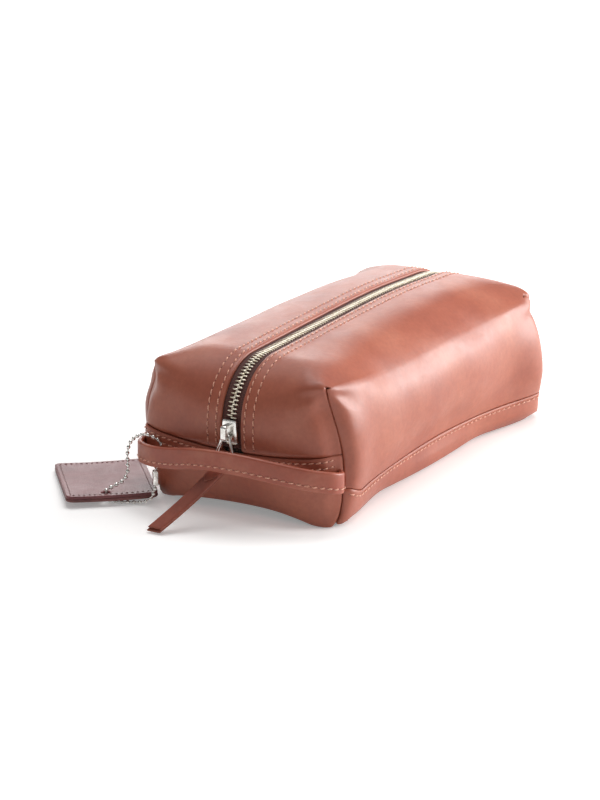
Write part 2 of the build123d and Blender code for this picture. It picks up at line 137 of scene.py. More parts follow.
def leatherMaterial(name, look):
    # Vegetable tanned cowhide, milled smooth and waxed: a satin face, cloudy colour, a fine grain
    # and faint stretch marks. The grain is drawn about twice as coarse as the real one, so it shows.
    material, tree = newMaterial(name)
    place = addNode(tree, "TexCoord")
    cloud = addNode(tree, "TexNoise", inputs={"Vector": (place, "Object"), "Scale": perMetre(look["cloud"]),
                                              "Detail": 4.0, "Roughness": 0.55})
    mottle = addNode(tree, "TexNoise", inputs={"Vector": (place, "Object"), "Scale": perMetre(look["pore"]),
                                               "Detail": 3.0, "Roughness": 0.6})
    grain = addNode(tree, "TexVoronoi", {"feature": "DISTANCE_TO_EDGE"},
                    {"Vector": (place, "Object"), "Scale": perMetre(look["grain"])})
    crease = addNode(tree, "TexNoise", inputs={"Vector": (place, "Object"),
                                               "Scale": perMetre(look["crease"]), "Detail": 6.0,
                                               "Roughness": 0.7, "Distortion": 1.2})
    tone = rampStops(addNode(tree, "ValToRGB", inputs={"Fac": (cloud, "Fac")}),
                     [(0.3, toLinear(look["dark"])), (0.5, toLinear(look["base"])),
                      (0.72, toLinear(look["light"]))])
    speck = addNode(tree, "MapRange", inputs={"Value": (mottle, "Fac"), "From Min": 0.3, "From Max": 0.7,
                                              "To Min": 0.93, "To Max": 1.06})
    tinted = addNode(tree, "Mix", {"data_type": "RGBA", "blend_type": "MULTIPLY"},
                     {"Factor": 1.0, 6: (tone, "Color"), 7: (speck, "Result")})
    # rubbed edges: where the geometry turns sharply outwards the finish is a little lighter
    wear = addNode(tree, "NewGeometry")
    rub = addNode(tree, "MapRange", inputs={"Value": (wear, "Pointiness"), "From Min": 0.52,
                                            "From Max": 0.6, "To Min": 0.0, "To Max": 0.45})
    worn = addNode(tree, "Mix", {"data_type": "RGBA"},
                   {"Factor": (rub, "Result"), 6: (tinted, 2), 7: toLinear(look["light"])})
    polish = addNode(tree, "MapRange", inputs={"Value": (crease, "Fac"), "From Min": 0.3, "From Max": 0.7,
                                               "To Min": look["roughness"][0],
                                               "To Max": look["roughness"][1]})
    pebble = addNode(tree, "MapRange", inputs={"Value": (grain, "Distance"), "From Min": 0.0,
                                               "From Max": 0.25, "To Min": 0.0, "To Max": 1.0})
    fine = addNode(tree, "Bump", inputs={"Height": (pebble, "Result"), "Strength": look["bump"],
                                         "Distance": 0.00008})
    broad = addNode(tree, "Bump", inputs={"Height": (crease, "Fac"), "Strength": 0.25,
                                          "Distance": 0.0005, "Normal": (fine, "Normal")})
    shader = addNode(tree, "BsdfPrincipled",
                     inputs={"Base Color": (worn, 2), "Roughness": (polish, "Result"),
                             "IOR": 1.48, "Specular IOR Level": look["shine"], "Coat Weight": look["coat"],
                             "Coat Roughness": 0.4, "Normal": (broad, "Normal")})
    finishMaterial(tree, shader)
    return material


def changed(look, **values):
    # a copy of a look with some of its values replaced
    return {**look, **values}


bagLeather = leatherMaterial("waxedCowhide", leatherLook)
endLeather = leatherMaterial("waxedCowhideEnd", changed(leatherLook, cloud=60.0))
strapLeather = leatherMaterial("foldedStrapLeather", changed(leatherLook, base="#A2503B", cloud=30.0))
tabLeather = leatherMaterial("pullTabLeather", changed(leatherLook, base="#944A37", light="#A65B47",
                                                       dark="#7F3D2D", cloud=24.0))
tagLeather = leatherMaterial("glazedTagLeather", changed(leatherLook, base="#7E4D4E", light="#8C595A",
                                                         dark="#6C4042", cloud=34.0,
                                                         roughness=(0.38, 0.48),
                                                         shine=0.3, coat=0.0))
tagEdge = leatherMaterial("tagEdgeLeather", changed(leatherLook, base="#74423F", light="#8A5350",
                                                    dark="#5C3331", pore=1.2,
                                                    roughness=(0.5, 0.65)))
edgeLeather = leatherMaterial("rawLeatherEdge", changed(leatherLook, base="#8A4634", light="#B4735A",
                                                        dark="#6A3125", pore=1.2,
                                                        roughness=(0.6, 0.75), bump=0.4))


def threadMaterial(name, colour, shade):
    # Waxed polyester sewing thread, two plies twisted: the ply lines show as thin darker bands
    material, tree = newMaterial(name)
    place = addNode(tree, "TexCoord")
    ply = addNode(tree, "TexWave", {"bands_direction": "DIAGONAL"},
                  {"Vector": (place, "Object"), "Scale": perMetre(2.2), "Distortion": 0.4})
    tone = rampStops(addNode(tree, "ValToRGB", inputs={"Fac": (ply, "Fac")}),
                     [(0.1, toLinear(shade)), (0.6, toLinear(colour))])
    raised = addNode(tree, "Bump", inputs={"Height": (ply, "Fac"), "Strength": 0.5, "Distance": 0.0001})
    shader = addNode(tree, "BsdfPrincipled", inputs={"Base Color": (tone, "Color"), "Roughness": 0.55,
                                                     "Sheen Weight": 0.15, "Normal": (raised, "Normal")})
    finishMaterial(tree, shader)
    return material


peachThread = threadMaterial("peachPolyesterThread", "#F0B79E", "#C98268")
# painted shade for the needle holes: a dark reddish brown made with the thread's shader
holeShade = threadMaterial("needleHoleShade", "#7C3C2E", "#66302A")
tagThread = threadMaterial("mauveWaxedThread", "#B08E8C", "#8E6C6A")


def metalMaterial(name, colour, tarnish, roughness, streak):
    # Plated zinc or drawn wire: bright, slightly uneven, with faint polishing marks
    material, tree = newMaterial(name)
    place = addNode(tree, "TexCoord")
    patch = addNode(tree, "TexNoise", inputs={"Vector": (place, "Object"), "Scale": perMetre(streak),
                                              "Detail": 3.0})
    tone = rampStops(addNode(tree, "ValToRGB", inputs={"Fac": (patch, "Fac")}),
                     [(0.35, toLinear(tarnish)), (0.6, toLinear(colour))])
    polish = addNode(tree, "MapRange", inputs={"Value": (patch, "Fac"), "From Min": 0.3, "From Max": 0.7,
                                               "To Min": roughness + 0.1, "To Max": roughness})
    fine = addNode(tree, "Bump", inputs={"Height": (patch, "Fac"), "Strength": 0.12, "Distance": 0.0001})
    shader = addNode(tree, "BsdfPrincipled", inputs={"Base Color": (tone, "Color"), "Metallic": 1.0,
                                                     "Roughness": (polish, "Result"),
                                                     "Normal": (fine, "Normal")})
    finishMaterial(tree, shader)
    return material


nickel = metalMaterial("brightNickelPlate", "#F1EFEB", "#DAD7D1", 0.2, 7.0)
paleBrass = metalMaterial("paleBrassTeeth", "#F4EBDA", "#CDBFA4", 0.3, 1.1)
chainSteel = metalMaterial("nickelBallChain", "#EFEDE9", "#C4C1BB", 0.16, 1.5)


def clothMaterial(name, light, dark, threadSize, across="UV"):
    # Woven polyester: warp over weft, seen as a small check of raised threads
    material, tree = newMaterial(name)
    place = addNode(tree, "TexCoord")
    warp = addNode(tree, "TexWave", {"bands_direction": "X"},
                   {"Vector": (place, across), "Scale": perMetre(threadSize * 6.3), "Distortion": 0.3})
    weft = addNode(tree, "TexWave", {"bands_direction": "Y"},
                   {"Vector": (place, across), "Scale": perMetre(threadSize * 6.3), "Distortion": 0.3})
    weave = addNode(tree, "Math", {"operation": "MULTIPLY"}, {0: (warp, "Fac"), 1: (weft, "Fac")})
    tone = rampStops(addNode(tree, "ValToRGB", inputs={"Fac": (weave, "Value")}),
                     [(0.05, toLinear(dark)), (0.7, toLinear(light))])
    raised = addNode(tree, "Bump", inputs={"Height": (weave, "Value"), "Strength": 0.6,
                                           "Distance": 0.0002})
    shader = addNode(tree, "BsdfPrincipled", inputs={"Base Color": (tone, "Color"), "Roughness": 0.8,
                                                     "Sheen Weight": 0.2, "Normal": (raised, "Normal")})
    finishMaterial(tree, shader)
    return material


tapeCloth = clothMaterial("wovenZipTape", "#6B362B", "#42201A", 0.5)
liningCloth = clothMaterial("plainWeaveLining", "#8C8074", "#5E554C", 0.6)
print("materials ready")

# Meshes from grids


def put(name, points, faces, material, body, replaced=(), uv=None, smooth=True, sheet=None):
    # points in millimetres; faces is one array of quads or triangles, or a list of such arrays
    mesh = bpy.data.meshes.new(name)
    blocks = faces if isinstance(faces, list) else [faces]
    sizes = np.concatenate([np.full(len(b), b.shape[1]) for b in blocks])
    corners = np.concatenate([b.ravel() for b in blocks]).astype(np.int32)
    mesh.vertices.add(len(points))
    mesh.vertices.foreach_set("co", (np.asarray(points, float) * mm).ravel())
    mesh.loops.add(len(corners))
    mesh.loops.foreach_set("vertex_index", corners)
    mesh.polygons.add(len(sizes))
    mesh.polygons.foreach_set("loop_start", np.concatenate([[0], np.cumsum(sizes)[:-1]]).astype(np.int32))
    mesh.polygons.foreach_set("use_smooth", np.full(len(sizes), smooth))
    mesh.update(calc_edges=True)
    if uv is not None:
        layer = mesh.uv_layers.new(name="flat")
        layer.data.foreach_set("uv", (np.asarray(uv, float)[corners] * mm).ravel())
    mesh.materials.append(material)
    piece = bpy.data.objects.new(name, mesh)
    bpy.context.scene.collection.objects.link(piece)
    if sheet:
        wall = piece.modifiers.new("wall", "SOLIDIFY")
        wall.thickness = sheet * mm
        wall.offset = -1.0
        wall.use_rim = True
    if body:
        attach(piece, body)
    if replaced:
        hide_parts(*replaced)
    return piece


def gridFaces(rows, columns, start=0, closeColumns=False, closeRows=False):
    # quads between neighbouring rows and columns of a grid stored row by row
    r = np.arange(rows if closeRows else rows - 1)
    c = np.arange(columns if closeColumns else columns - 1)
    a, b = np.meshgrid(r, c, indexing="ij")
    a2, b2 = (a + 1) % rows, (b + 1) % columns
    quad = np.stack([a * columns + b, a * columns + b2, a2 * columns + b2, a2 * columns + b], -1)
    return quad.reshape(-1, 4) + start


def facedOut(points, faces, middle):
    # turns the faces round if most of them look towards the middle
    p = np.asarray(points, float)
    a, b, c = p[faces[:, 0]], p[faces[:, 1]], p[faces[:, 2]]
    normal = np.cross(b - a, c - a)
    outward = np.sum(normal * (a - middle(a)), axis=1).sum()
    return faces if outward > 0 else faces[:, ::-1]


def unit(v):
    # vectors divided by their own length
    return v / np.maximum(np.linalg.norm(v, axis=-1, keepdims=True), 1e-9)


def smoothStep(x, low, high):
    # 0 below low, 1 above high, and three t squared less two t cubed between
    t = np.clip((x - low) / (high - low), 0, 1)
    return t * t * (3 - 2 * t)


def loft(rings, closedLine=False):
    # rings of points (ring, point, xyz) joined into a tube; an open tube gets a fan at each end
    n, k = rings.shape[:2]
    centres = rings.mean(axis=1)
    middle = np.repeat(centres, k, axis=0)
    points = rings.reshape(-1, 3)
    sides = gridFaces(n, k, closeColumns=True, closeRows=closedLine)
    sides = facedOut(points, sides, lambda a: middle[sides[:, 0]])
    if closedLine:
        return points, [sides]
    points = np.vstack([points, centres[0], centres[-1]])
    ring = np.arange(k)
    after = (ring + 1) % k
    first = np.stack([np.full(k, n * k), ring, after], 1)
    last = np.stack([np.full(k, n * k + 1), (n - 1) * k + ring, (n - 1) * k + after], 1)
    inner = (centres[1], centres[-2])
    caps = [facedOut(points, f, lambda a, m=m: m + 0 * a) for f, m in zip((first, last), inner)]
    return points, [sides, *caps]


def smoothLine(points, count, closed=False):
    # Catmull-Rom spline through the points, resampled to even steps along its length
    p = np.asarray(points, float)
    if closed:
        q = np.vstack([p[-1], p, p[0], p[1]])
    else:
        q = np.vstack([2 * p[0] - p[1], p, 2 * p[-1] - p[-2]])
    t = np.linspace(0, 1, 24, endpoint=False)[:, None]
    spans = [0.5 * (2 * b + (c - a) * t + (2 * a - 5 * b + 4 * c - d) * t**2
                    + (3 * b - a - 3 * c + d) * t**3) for a, b, c, d in zip(q, q[1:], q[2:], q[3:])]
    line = np.vstack(spans + [q[-2][None]])
    return evenly(line, count, closed)


def lengthAlong(line):
    # the running sum of the distances between neighbouring points
    return np.concatenate([[0], np.cumsum(np.linalg.norm(np.diff(line, axis=0), axis=1))])


def evenly(line, count, closed=False):
    # points at equal steps of that running length
    run = lengthAlong(line)
    at = np.linspace(0, run[-1], count, endpoint=not closed)
    return np.stack([np.interp(at, run, line[:, k]) for k in range(line.shape[1])], 1)


# The bag's form

form = {
    "cornerX": 118.0, "cornerY": 60.0, "sideBulge": 5.5, "nearRadius": 37.0, "nearCentre": (-98.0, 51.0),
    "farRadius": 40.0, "farCentre": (95.0, 53.5), "lean": 11.0, "shoulder": 80.0, "crown": 97.0,
    "endMargin": 1.0, "rounding": 8.0, "pillow": 20.0, "softness": 5.0,
}


def arcPoints(centre, radius, start, stop, count=40):
    # centre plus radius times the cosine and sine of even angles, in degrees
    a = np.radians(np.linspace(start, stop, count))
    return np.stack([centre[0] + radius * np.cos(a), centre[1] + radius * np.sin(a)], 1)


def arcThrough(a, b, c, count=40):
    # the circle through three points, from a by way of b to c
    (ax, ay), (bx, by), (cx, cy) = a, b, c
    d = 2 * (ax * (by - cy) + bx * (cy - ay) + cx * (ay - by))
    sa, sb, sc = ax * ax + ay * ay, bx * bx + by * by, cx * cx + cy * cy
    ux = (sa * (by - cy) + sb * (cy - ay) + sc * (ay - by)) / d
    uy = (sa * (cx - bx) + sb * (ax - cx) + sc * (bx - ax)) / d
    radius = hypot(ax - ux, ay - uy)
    angle = [degrees(atan2(y - uy, x - ux)) for x, y in (a, b, c)]
    toMiddle, toEnd = (angle[1] - angle[0]) % 360, (angle[2] - angle[0]) % 360
    stop = angle[0] + (toEnd if toMiddle <= toEnd else toEnd - 360)
    return arcPoints((ux, uy), radius, angle[0], stop, count)


gap = (form["farCentre"][0] - form["nearCentre"][0], form["farCentre"][1] - form["nearCentre"][1])
topNormal = degrees(atan2(gap[1], gap[0])
                    + acos((form["nearRadius"] - form["farRadius"]) / hypot(*gap)))


def lengthOutline(inset):
    # from the side: leaning ends tangent to two round shoulders, joined by a straight rising top
    near = arcPoints(form["nearCentre"], form["nearRadius"] - inset, 180 + form["lean"], topNormal)
    far = arcPoints(form["farCentre"], form["farRadius"] - inset, topNormal, -form["lean"])
    slope = tan(radians(form["lean"]))
    footNear = (near[0][0] + (near[0][1] - inset) * slope, inset)
    footFar = (far[-1][0] - (far[-1][1] - inset) * slope, inset)
    return np.vstack([[footNear], near, far, [footFar]])


def widthOutline(inset):
    # from the end: bulged sides under a crowned top
    foot = (form["cornerY"] - form["sideBulge"] / 2 - inset, inset)
    waist = (form["cornerY"] + form["sideBulge"] - inset, form["shoulder"] / 2)
    top = (form["cornerY"] - inset, form["shoulder"] - inset)
    crest = (0.0, form["crown"] - inset)
    flip = np.array([-1.0, 1.0])
    side = arcThrough(foot, waist, top)
    return np.vstack([side, arcThrough(top, crest, (-top[0], top[1])), (side * flip)[::-1]])


def planOutline(inset):
    # from above: four bulged edges between four corners
    x, y = form["cornerX"] - inset, form["cornerY"] - inset
    nearEnd = form["nearCentre"][0] - form["nearRadius"] - form["endMargin"] + inset
    farEnd = form["farCentre"][0] + form["farRadius"] + form["endMargin"] - inset
    side = y + form["sideBulge"]
    corners = [(-x, -y), (x, -y), (x, y), (-x, y)]
    middles = [(0, -side), (farEnd, 0), (0, side), (nearEnd, 0)]
    return np.vstack([arcThrough(corners[i], middles[i], corners[(i + 1) % 4]) for i in range(4)])


fieldStep = 0.5


def distanceField(outline, low, high):
    # signed distance to a closed outline on a fine raster, negative inside
    xs = np.arange(low[0], high[0], fieldStep)
    ys = np.arange(low[1], high[1], fieldStep)
    px, py = np.meshgrid(xs, ys, indexing="ij")
    nearest = np.full(px.shape, 1e9)
    inside = np.zeros(px.shape, bool)
    for (ax, ay), (bx, by) in zip(outline, np.roll(outline, -1, axis=0)):
        ex, ey = bx - ax, by - ay
        size = ex * ex + ey * ey
        if size < 1e-12:
            continue
        t = np.clip(((px - ax) * ex + (py - ay) * ey) / size, 0, 1)
        nearest = np.minimum(nearest, (px - ax - t * ex) ** 2 + (py - ay - t * ey) ** 2)
        crosses = (ay > py) != (by > py)
        reach = ax + (py - ay) * ex / (ey if abs(ey) > 1e-12 else 1e-12)
        inside ^= crosses & (px < reach)
    field = np.sqrt(nearest)
    return np.where(inside, -field, field), np.array(low, float)


def readField(field, a, b):
    # bilinear value of the raster at the points (a, b)
    values, low = field
    i = np.clip((a - low[0]) / fieldStep, 0, values.shape[0] - 1.001)
    j = np.clip((b - low[1]) / fieldStep, 0, values.shape[1] - 1.001)
    i0, j0 = i.astype(int), j.astype(int)
    u, v = i - i0, j - j0
    return ((values[i0, j0] * (1 - u) + values[i0 + 1, j0] * u) * (1 - v)
            + (values[i0, j0 + 1] * (1 - u) + values[i0 + 1, j0 + 1] * u) * v)


# the rasters' corners are off the round numbers, so that no row runs exactly through an outline point
rounding = form["rounding"]
lengthField = distanceField(lengthOutline(rounding), (-160.13, -20.17), (160, 125))
widthField = distanceField(widthOutline(rounding), (-90.13, -20.17), (90, 125))
pillowField = distanceField(widthOutline(form["pillow"]), (-90.13, -20.17), (90, 125))
planField = distanceField(planOutline(rounding), (-160.13, -90.17), (160, 90))


def softMax(a, b, width):
    # the larger of two distances, eased where they are nearly equal
    h = np.maximum(width - np.abs(a - b), 0)
    return np.maximum(a, b) + h * h / (4 * width)


# the tucked corner seams: (height, x, y) of the strap end's right seam; the others are mirrored
seamPath = np.array([(0.0, 114.0, 44.0), (1.2, 117.0, 50.0), (4.0, 119.5, 54.5), (9.0, 119.5, 58.0),
                     (16.0, 117.5, 59.5), (26.0, 115.5, 60.5),
                     (40.0, 116.5, 60.0), (55.0, 118.0, 59.5), (70.0, 119.0, 58.0), (84.0, 119.0, 57.0)])
tuck = {"depth": 6.8, "width": 5.6, "tipHeight": 78.0, "puff": 3.0, "puffAway": 13.0, "puffWidth": 15.0,
        "peak": 1.4, "peakReach": 9.0, "pucker": 0.55, "puckerAway": 14.0, "puckerWidth": 11.0}
wave = {"long": 0.63, "short": 0.315}


def seamAt(z, endSign, sideSign):
    # the seam's x and y at a height, read off its path and mirrored to that corner
    x = np.interp(z, seamPath[:, 0], seamPath[:, 1]) * endSign
    y = np.interp(z, seamPath[:, 0], seamPath[:, 2]) * sideSign
    return x, y


def leatherDistance(p):
    # how far a point is outside the leather: the three outlines, less the full leather beside the
    # four tucked corners, plus their grooves and the slow waves of the stuffing
    x, y, z = p[..., 0], p[..., 1], p[..., 2]
    # the right shoulder is round and full between the corners, the other edges are tighter
    full = (1 - smoothStep(np.abs(x), 50, 106)) * smoothStep(-y, 5, 40)
    wide = (readField(widthField, y, z) * (1 - full)
            + (readField(pillowField, y, z) - form["pillow"] + rounding) * full)
    base = softMax(readField(lengthField, x, z), wide, form["softness"])
    base = softMax(base, readField(planField, x, y), form["softness"]) - rounding
    # the tuck is a valley along the seam, the puff a ring around it
    sx, sy = seamAt(z, np.where(x < 0, -1.0, 1.0), np.where(y < 0, -1.0, 1.0))
    away = np.hypot(x - sx, y - sy)
    top = tuck["tipHeight"]
    groove = tuck["depth"] * np.exp(-(away / tuck["width"]) ** 2)
    groove = groove * smoothStep(z, 2, 14) * (1 - smoothStep(z, top - 12, top + 2))
    puff = tuck["puff"] * np.exp(-((away - tuck["puffAway"]) / tuck["puffWidth"]) ** 2)
    puff = puff * smoothStep(z, 8, 30) * (1 - smoothStep(z, 50, 76))
    # a small peak at the seam's top, and puckers that fan out from it
    tip = np.sqrt(away ** 2 + (z - top - 4) ** 2)
    peak = tuck["peak"] * np.exp(-(tip / tuck["peakReach"]) ** 2)
    fan = np.arctan2(z - top, away + 2)
    pucker = tuck["pucker"] * np.sin(fan * 9 + x * 0.07)
    pucker = pucker * np.exp(-((tip - tuck["puckerAway"]) / tuck["puckerWidth"]) ** 2)
    waves = (wave["long"] * np.sin(x * 0.047 + 0.9) * np.sin(z * 0.06 + 0.4 + y * 0.008)
             + wave["short"] * np.sin(x * 0.11 + z * 0.05 + y * 0.03))
    quiet = smoothStep(np.abs(y), 12, 36) * smoothStep(z, 10, 30) * (1 - 0.7 * smoothStep(z, 70, 85))
    return base + groove - puff - peak + (pucker + waves) * quiet


core = np.array([84.0, 42.0, 62.0])
coreFloor = 17.0
longestRay, halvings = 75.0, 22


def coreOf(p):
    # the nearest point of an inner box: rays leave it square to the faces and fan out at the edges
    low = np.array([-core[0], -core[1], coreFloor])
    return np.clip(p, low, core)


# soft pulls on the finished form: (centre, how far it moves there, how far the pull reaches)
pulls = [
    ((-119, -58, 79), (-4.0, 4.0, 1.0), (26, 26, 26)),   # the strap end's right top corner leans in
    ((8, -64, 20), (0, 7.5, 0), (72, 24, 15)),           # the long sides are waisted above the base
    ((8, 64, 20), (0, -7.5, 0), (72, 24, 15)),
    ((124, -60, 24), (7.0, -9.5, 0), (36, 36, 42)),      # the far end's lower corners flare
    ((124, 60, 24), (7.0, 9.5, 0), (36, 36, 42)),
    ((-120, 60, 38), (-5.5, 7.0, 0), (28, 28, 38)),      # so does the strap end's left corner
    ((-119, -60, 5), (-2.0, -3.0, -3.5), (30, 24, 15)),  # and its right foot reaches the floor
    ((8, -54, 1), (0, -6.0, -2.5), (85, 22, 10)),        # the long feet are nearly square
    ((8, 54, 1), (0, 6.0, -2.5), (85, 22, 10)),
    ((-104, -66, 44), (0, -2.5, 0), (18, 14, 30)),       # the side stands proud beside its tucked seam
    ((-128, 0, 2), (6.0, 0, 0), (30, 45, 16)),           # the strap end is drawn in at its foot
    ((118, 0, 90), (0, 0, -5.5), (60, 95, 30)),          # the top falls away to the far end
]


def leaned(p):
    # each pull moves a point by its move, fading as a bell curve of the distance over its reach
    moved = p
    for centre, move, reach in pulls:
        d = np.sum(((p - np.array(centre)) / np.array(reach)) ** 2, axis=-1, keepdims=True)
        moved = moved + np.array(move) * np.exp(-d)
    # the last millimetre above the floor is squeezed, so the skin stays above it
    z = moved[..., 2:]
    return np.concatenate([moved[..., :2], np.where(z < 1, np.exp(np.minimum(z, 1) - 1), z)], axis=-1)


def skin(guess, depth=0.0):
    # each point walks out from the inner box along its ray, by halving, until it is at that depth
    guess = np.asarray(guess, float)
    start = coreOf(guess)
    ray = unit(guess - start)
    near = np.zeros(guess.shape[:-1])
    far = np.full(guess.shape[:-1], longestRay)
    for _ in range(halvings):
        half = (near + far) / 2
        outside = leatherDistance(start + ray * half[..., None]) > -np.asarray(depth)
        far = np.where(outside, half, far)
        near = np.where(outside, near, half)
    return leaned(start + ray * near[..., None])


def skinNormal(guess, depth=0.0):
    # the slope of the distance, taken over a millimetre
    p = skin(guess, depth)
    e = np.eye(3) * 0.8
    slope = [leatherDistance(p + e[k]) - leatherDistance(p - e[k]) for k in range(3)]
    return p, unit(np.stack(slope, -1))


def roll(distance, radius=1.3):
    # depth of a rounded edge: a quarter circle of that radius
    d = np.clip(radius - distance, 0, radius)
    return radius - np.sqrt(np.maximum(radius ** 2 - d ** 2, 0))


rollSteps = np.array([0, 0.12, 0.35, 0.75, 1.3]) / 1.3


def edgeSteps(total, step, radius=1.3):
    # distances across a panel: close together at the rolled edges, even between them
    edge = rollSteps * radius
    margin = radius + step * 0.6
    inner = np.linspace(margin, total - margin, max(3, int(total / step)))
    return np.concatenate([edge, inner, total - edge[::-1]])


outlineTop = lengthOutline(0)
lengthRun = lengthAlong(outlineTop)


def onLength(s, depth=0.0):
    # point and outward normal of the lengthwise outline at a distance from its foot
    x, z = np.interp(s, lengthRun, outlineTop[:, 0]), np.interp(s, lengthRun, outlineTop[:, 1])
    e = 0.6
    tx = np.interp(s + e, lengthRun, outlineTop[:, 0]) - np.interp(s - e, lengthRun, outlineTop[:, 0])
    tz = np.interp(s + e, lengthRun, outlineTop[:, 1]) - np.interp(s - e, lengthRun, outlineTop[:, 1])
    size = np.hypot(tx, tz)
    nx, nz = -tz / size, tx / size
    return x - nx * depth, z - nz * depth, nx, nz


def runAtHeight(height, nearEnd):
    # distance along the outline where an end is at that height
    half = len(outlineTop) // 2
    if nearEnd:
        return float(np.interp(height, outlineTop[:half, 1], lengthRun[:half]))
    return float(np.interp(-height, -outlineTop[half:, 1], lengthRun[half:]))


windowEdge = 6.0


def bandTop(y):
    # the end band's upper edge dips in the middle and climbs to the corner seams, more to the left
    return 38.6 + np.where(y > 0, 2.2, 0.75) * (np.abs(y) / 35) ** 2


seamHeight = 17.3


def sideSeam(x, side):
    # height of the base panel's edge; it climbs a little into the strap end's seams
    return seamHeight + 4.6 * smoothStep(-x, 96, 116) - 0.8 * np.sin((x + 118) / 236 * pi)


panelStep = 1.7
wallColumns, sideRows = 34, 37


def cornerRun(middle, rows, end):
    # distance along the outline where it passes over the corner tips, above that end's arc centre
    x, z, run = outlineTop[rows, 0], outlineTop[rows, 1], lengthRun[rows]
    upper = z > middle[1]
    return float(np.interp(end * form["cornerX"], x[upper], run[upper]))


def topStrip(side, runs, ridge, middlePart):
    # between the zip's edge and the shoulder: rows run along the bag; the outer row lies on the
    # ridge, and the rows between bend towards it with the square of their distance from the zip
    across = edgeSteps(form["cornerY"] - windowEdge, panelStep)
    t = (across / across[-1])[:, None]
    lx, lz, _, _ = onLength(runs)
    x = lx + (ridge[0] - lx) * t ** 2
    z = lz + (ridge[2] - lz) * t ** 2
    y = side * windowEdge + (ridge[1] - side * windowEdge) * t
    # rolled edges beside the zip and along the corner seams, and a dive under the end bands
    inner = roll(across)[:, None] * 1.25
    outer = roll(across[-1] - across)[:, None] * np.where(middlePart, 0, 1.5)
    under = 1.9 * (1 - smoothStep(z - bandTop(y), -0.3, 1.6)) * (z < 60)
    return skin(np.stack([x, y, z], -1), inner + outer + under)


def sideWall(side, xs, tops):
    # the long side: columns hang from the shoulder's points and draw in to the corner seams
    edge = rollSteps * 1.3 / 60
    down = np.concatenate([np.linspace(0, 1 - edge[-1], sideRows)[1:], 1 - edge[-2::-1]])[:, None]
    bottoms = sideSeam(xs, side)
    z = tops + (bottoms - tops) * down
    nearSeam, _ = seamAt(z, -1.0, side)
    farSeam, _ = seamAt(z, 1.0, side)
    x = nearSeam + (farSeam - nearSeam) * (xs - xs[0]) / (xs[-1] - xs[0])
    y = drawnIn(x, z, side)
    fromSeam = np.minimum(x - nearSeam, farSeam - x)
    depth = roll(fromSeam) * 1.5 * smoothStep(tops - z, 0, 5) + roll(z - bottoms)
    return skin(np.stack([x, y, z], -1), depth)


def drawnIn(x, z, side):
    # a guess outside the long side that closes on the corner seams within a few millimetres
    seamX, seamY = seamAt(z, np.where(x < 0, -1.0, 1.0), side)
    pull = np.exp(-(np.abs(np.abs(x) - np.abs(seamX)) / 6.0))
    return side * (form["cornerY"] + 4) * (1 - pull) + seamY * pull


def leatherPanel(side):
    # T shape: the top strip runs the whole length from band to band between the zip's edge and the
    # shoulder line, and the long side hangs from its middle; they share the shoulder's points, and
    # the corner seams are where the strip's outer edge meets the side's edges
    half = len(outlineTop) // 2
    tipNear = cornerRun(form["nearCentre"], slice(8, half), -1)
    tipFar = cornerRun(form["farCentre"], slice(half + 1, -1), 1)
    nearColumns = np.linspace(runAtHeight(37.0, True), tipNear, wallColumns)
    middleColumns = tipNear + edgeSteps(tipFar - tipNear, panelStep)
    farColumns = np.linspace(tipFar, runAtHeight(40.0, False), wallColumns)
    runs = np.concatenate([nearColumns[:-1], middleColumns, farColumns[1:]])
    first, count = wallColumns - 1, len(middleColumns)
    last = first + count - 1
    order = np.arange(len(runs))
    middlePart = (order >= first) & (order <= last)
    # the ridge: level along the shoulder, and down the corner seams at both ends
    lx, lz, _, _ = onLength(runs)
    cornerX, cornerY = seamAt(lz, np.where(lx < 0, -1.0, 1.0), side)
    ratio = np.clip((runs - tipNear) / (tipFar - tipNear), 0, 1)
    ridge = (np.where(middlePart, lx, cornerX), np.where(middlePart, side * form["cornerY"], cornerY),
             np.where(middlePart, lz[first] + (lz[last] - lz[first]) * ratio - 1.0, lz))
    strip = topStrip(side, runs, ridge, middlePart)
    wall = sideWall(side, lx[first:last + 1], ridge[2][first:last + 1])
    # one mesh: the strip, the wall, and the row of faces that joins them at the shoulder
    rows, columns = strip.shape[:2]
    points = np.vstack([strip.reshape(-1, 3), wall.reshape(-1, 3)])
    above = (rows - 1) * columns + np.arange(first, last + 1)
    below = rows * columns + np.arange(count)
    join = np.stack([above[:-1], above[1:], below[1:], below[:-1]], 1)
    faces = np.vstack([gridFaces(rows, columns), join, gridFaces(len(wall), count, rows * columns)])
    return points, facedOut(points, faces, coreOf)


under = {"reach": 120.0, "drawnIn": 8.0, "half": 57.0, "below": 3.0, "rows": 52}


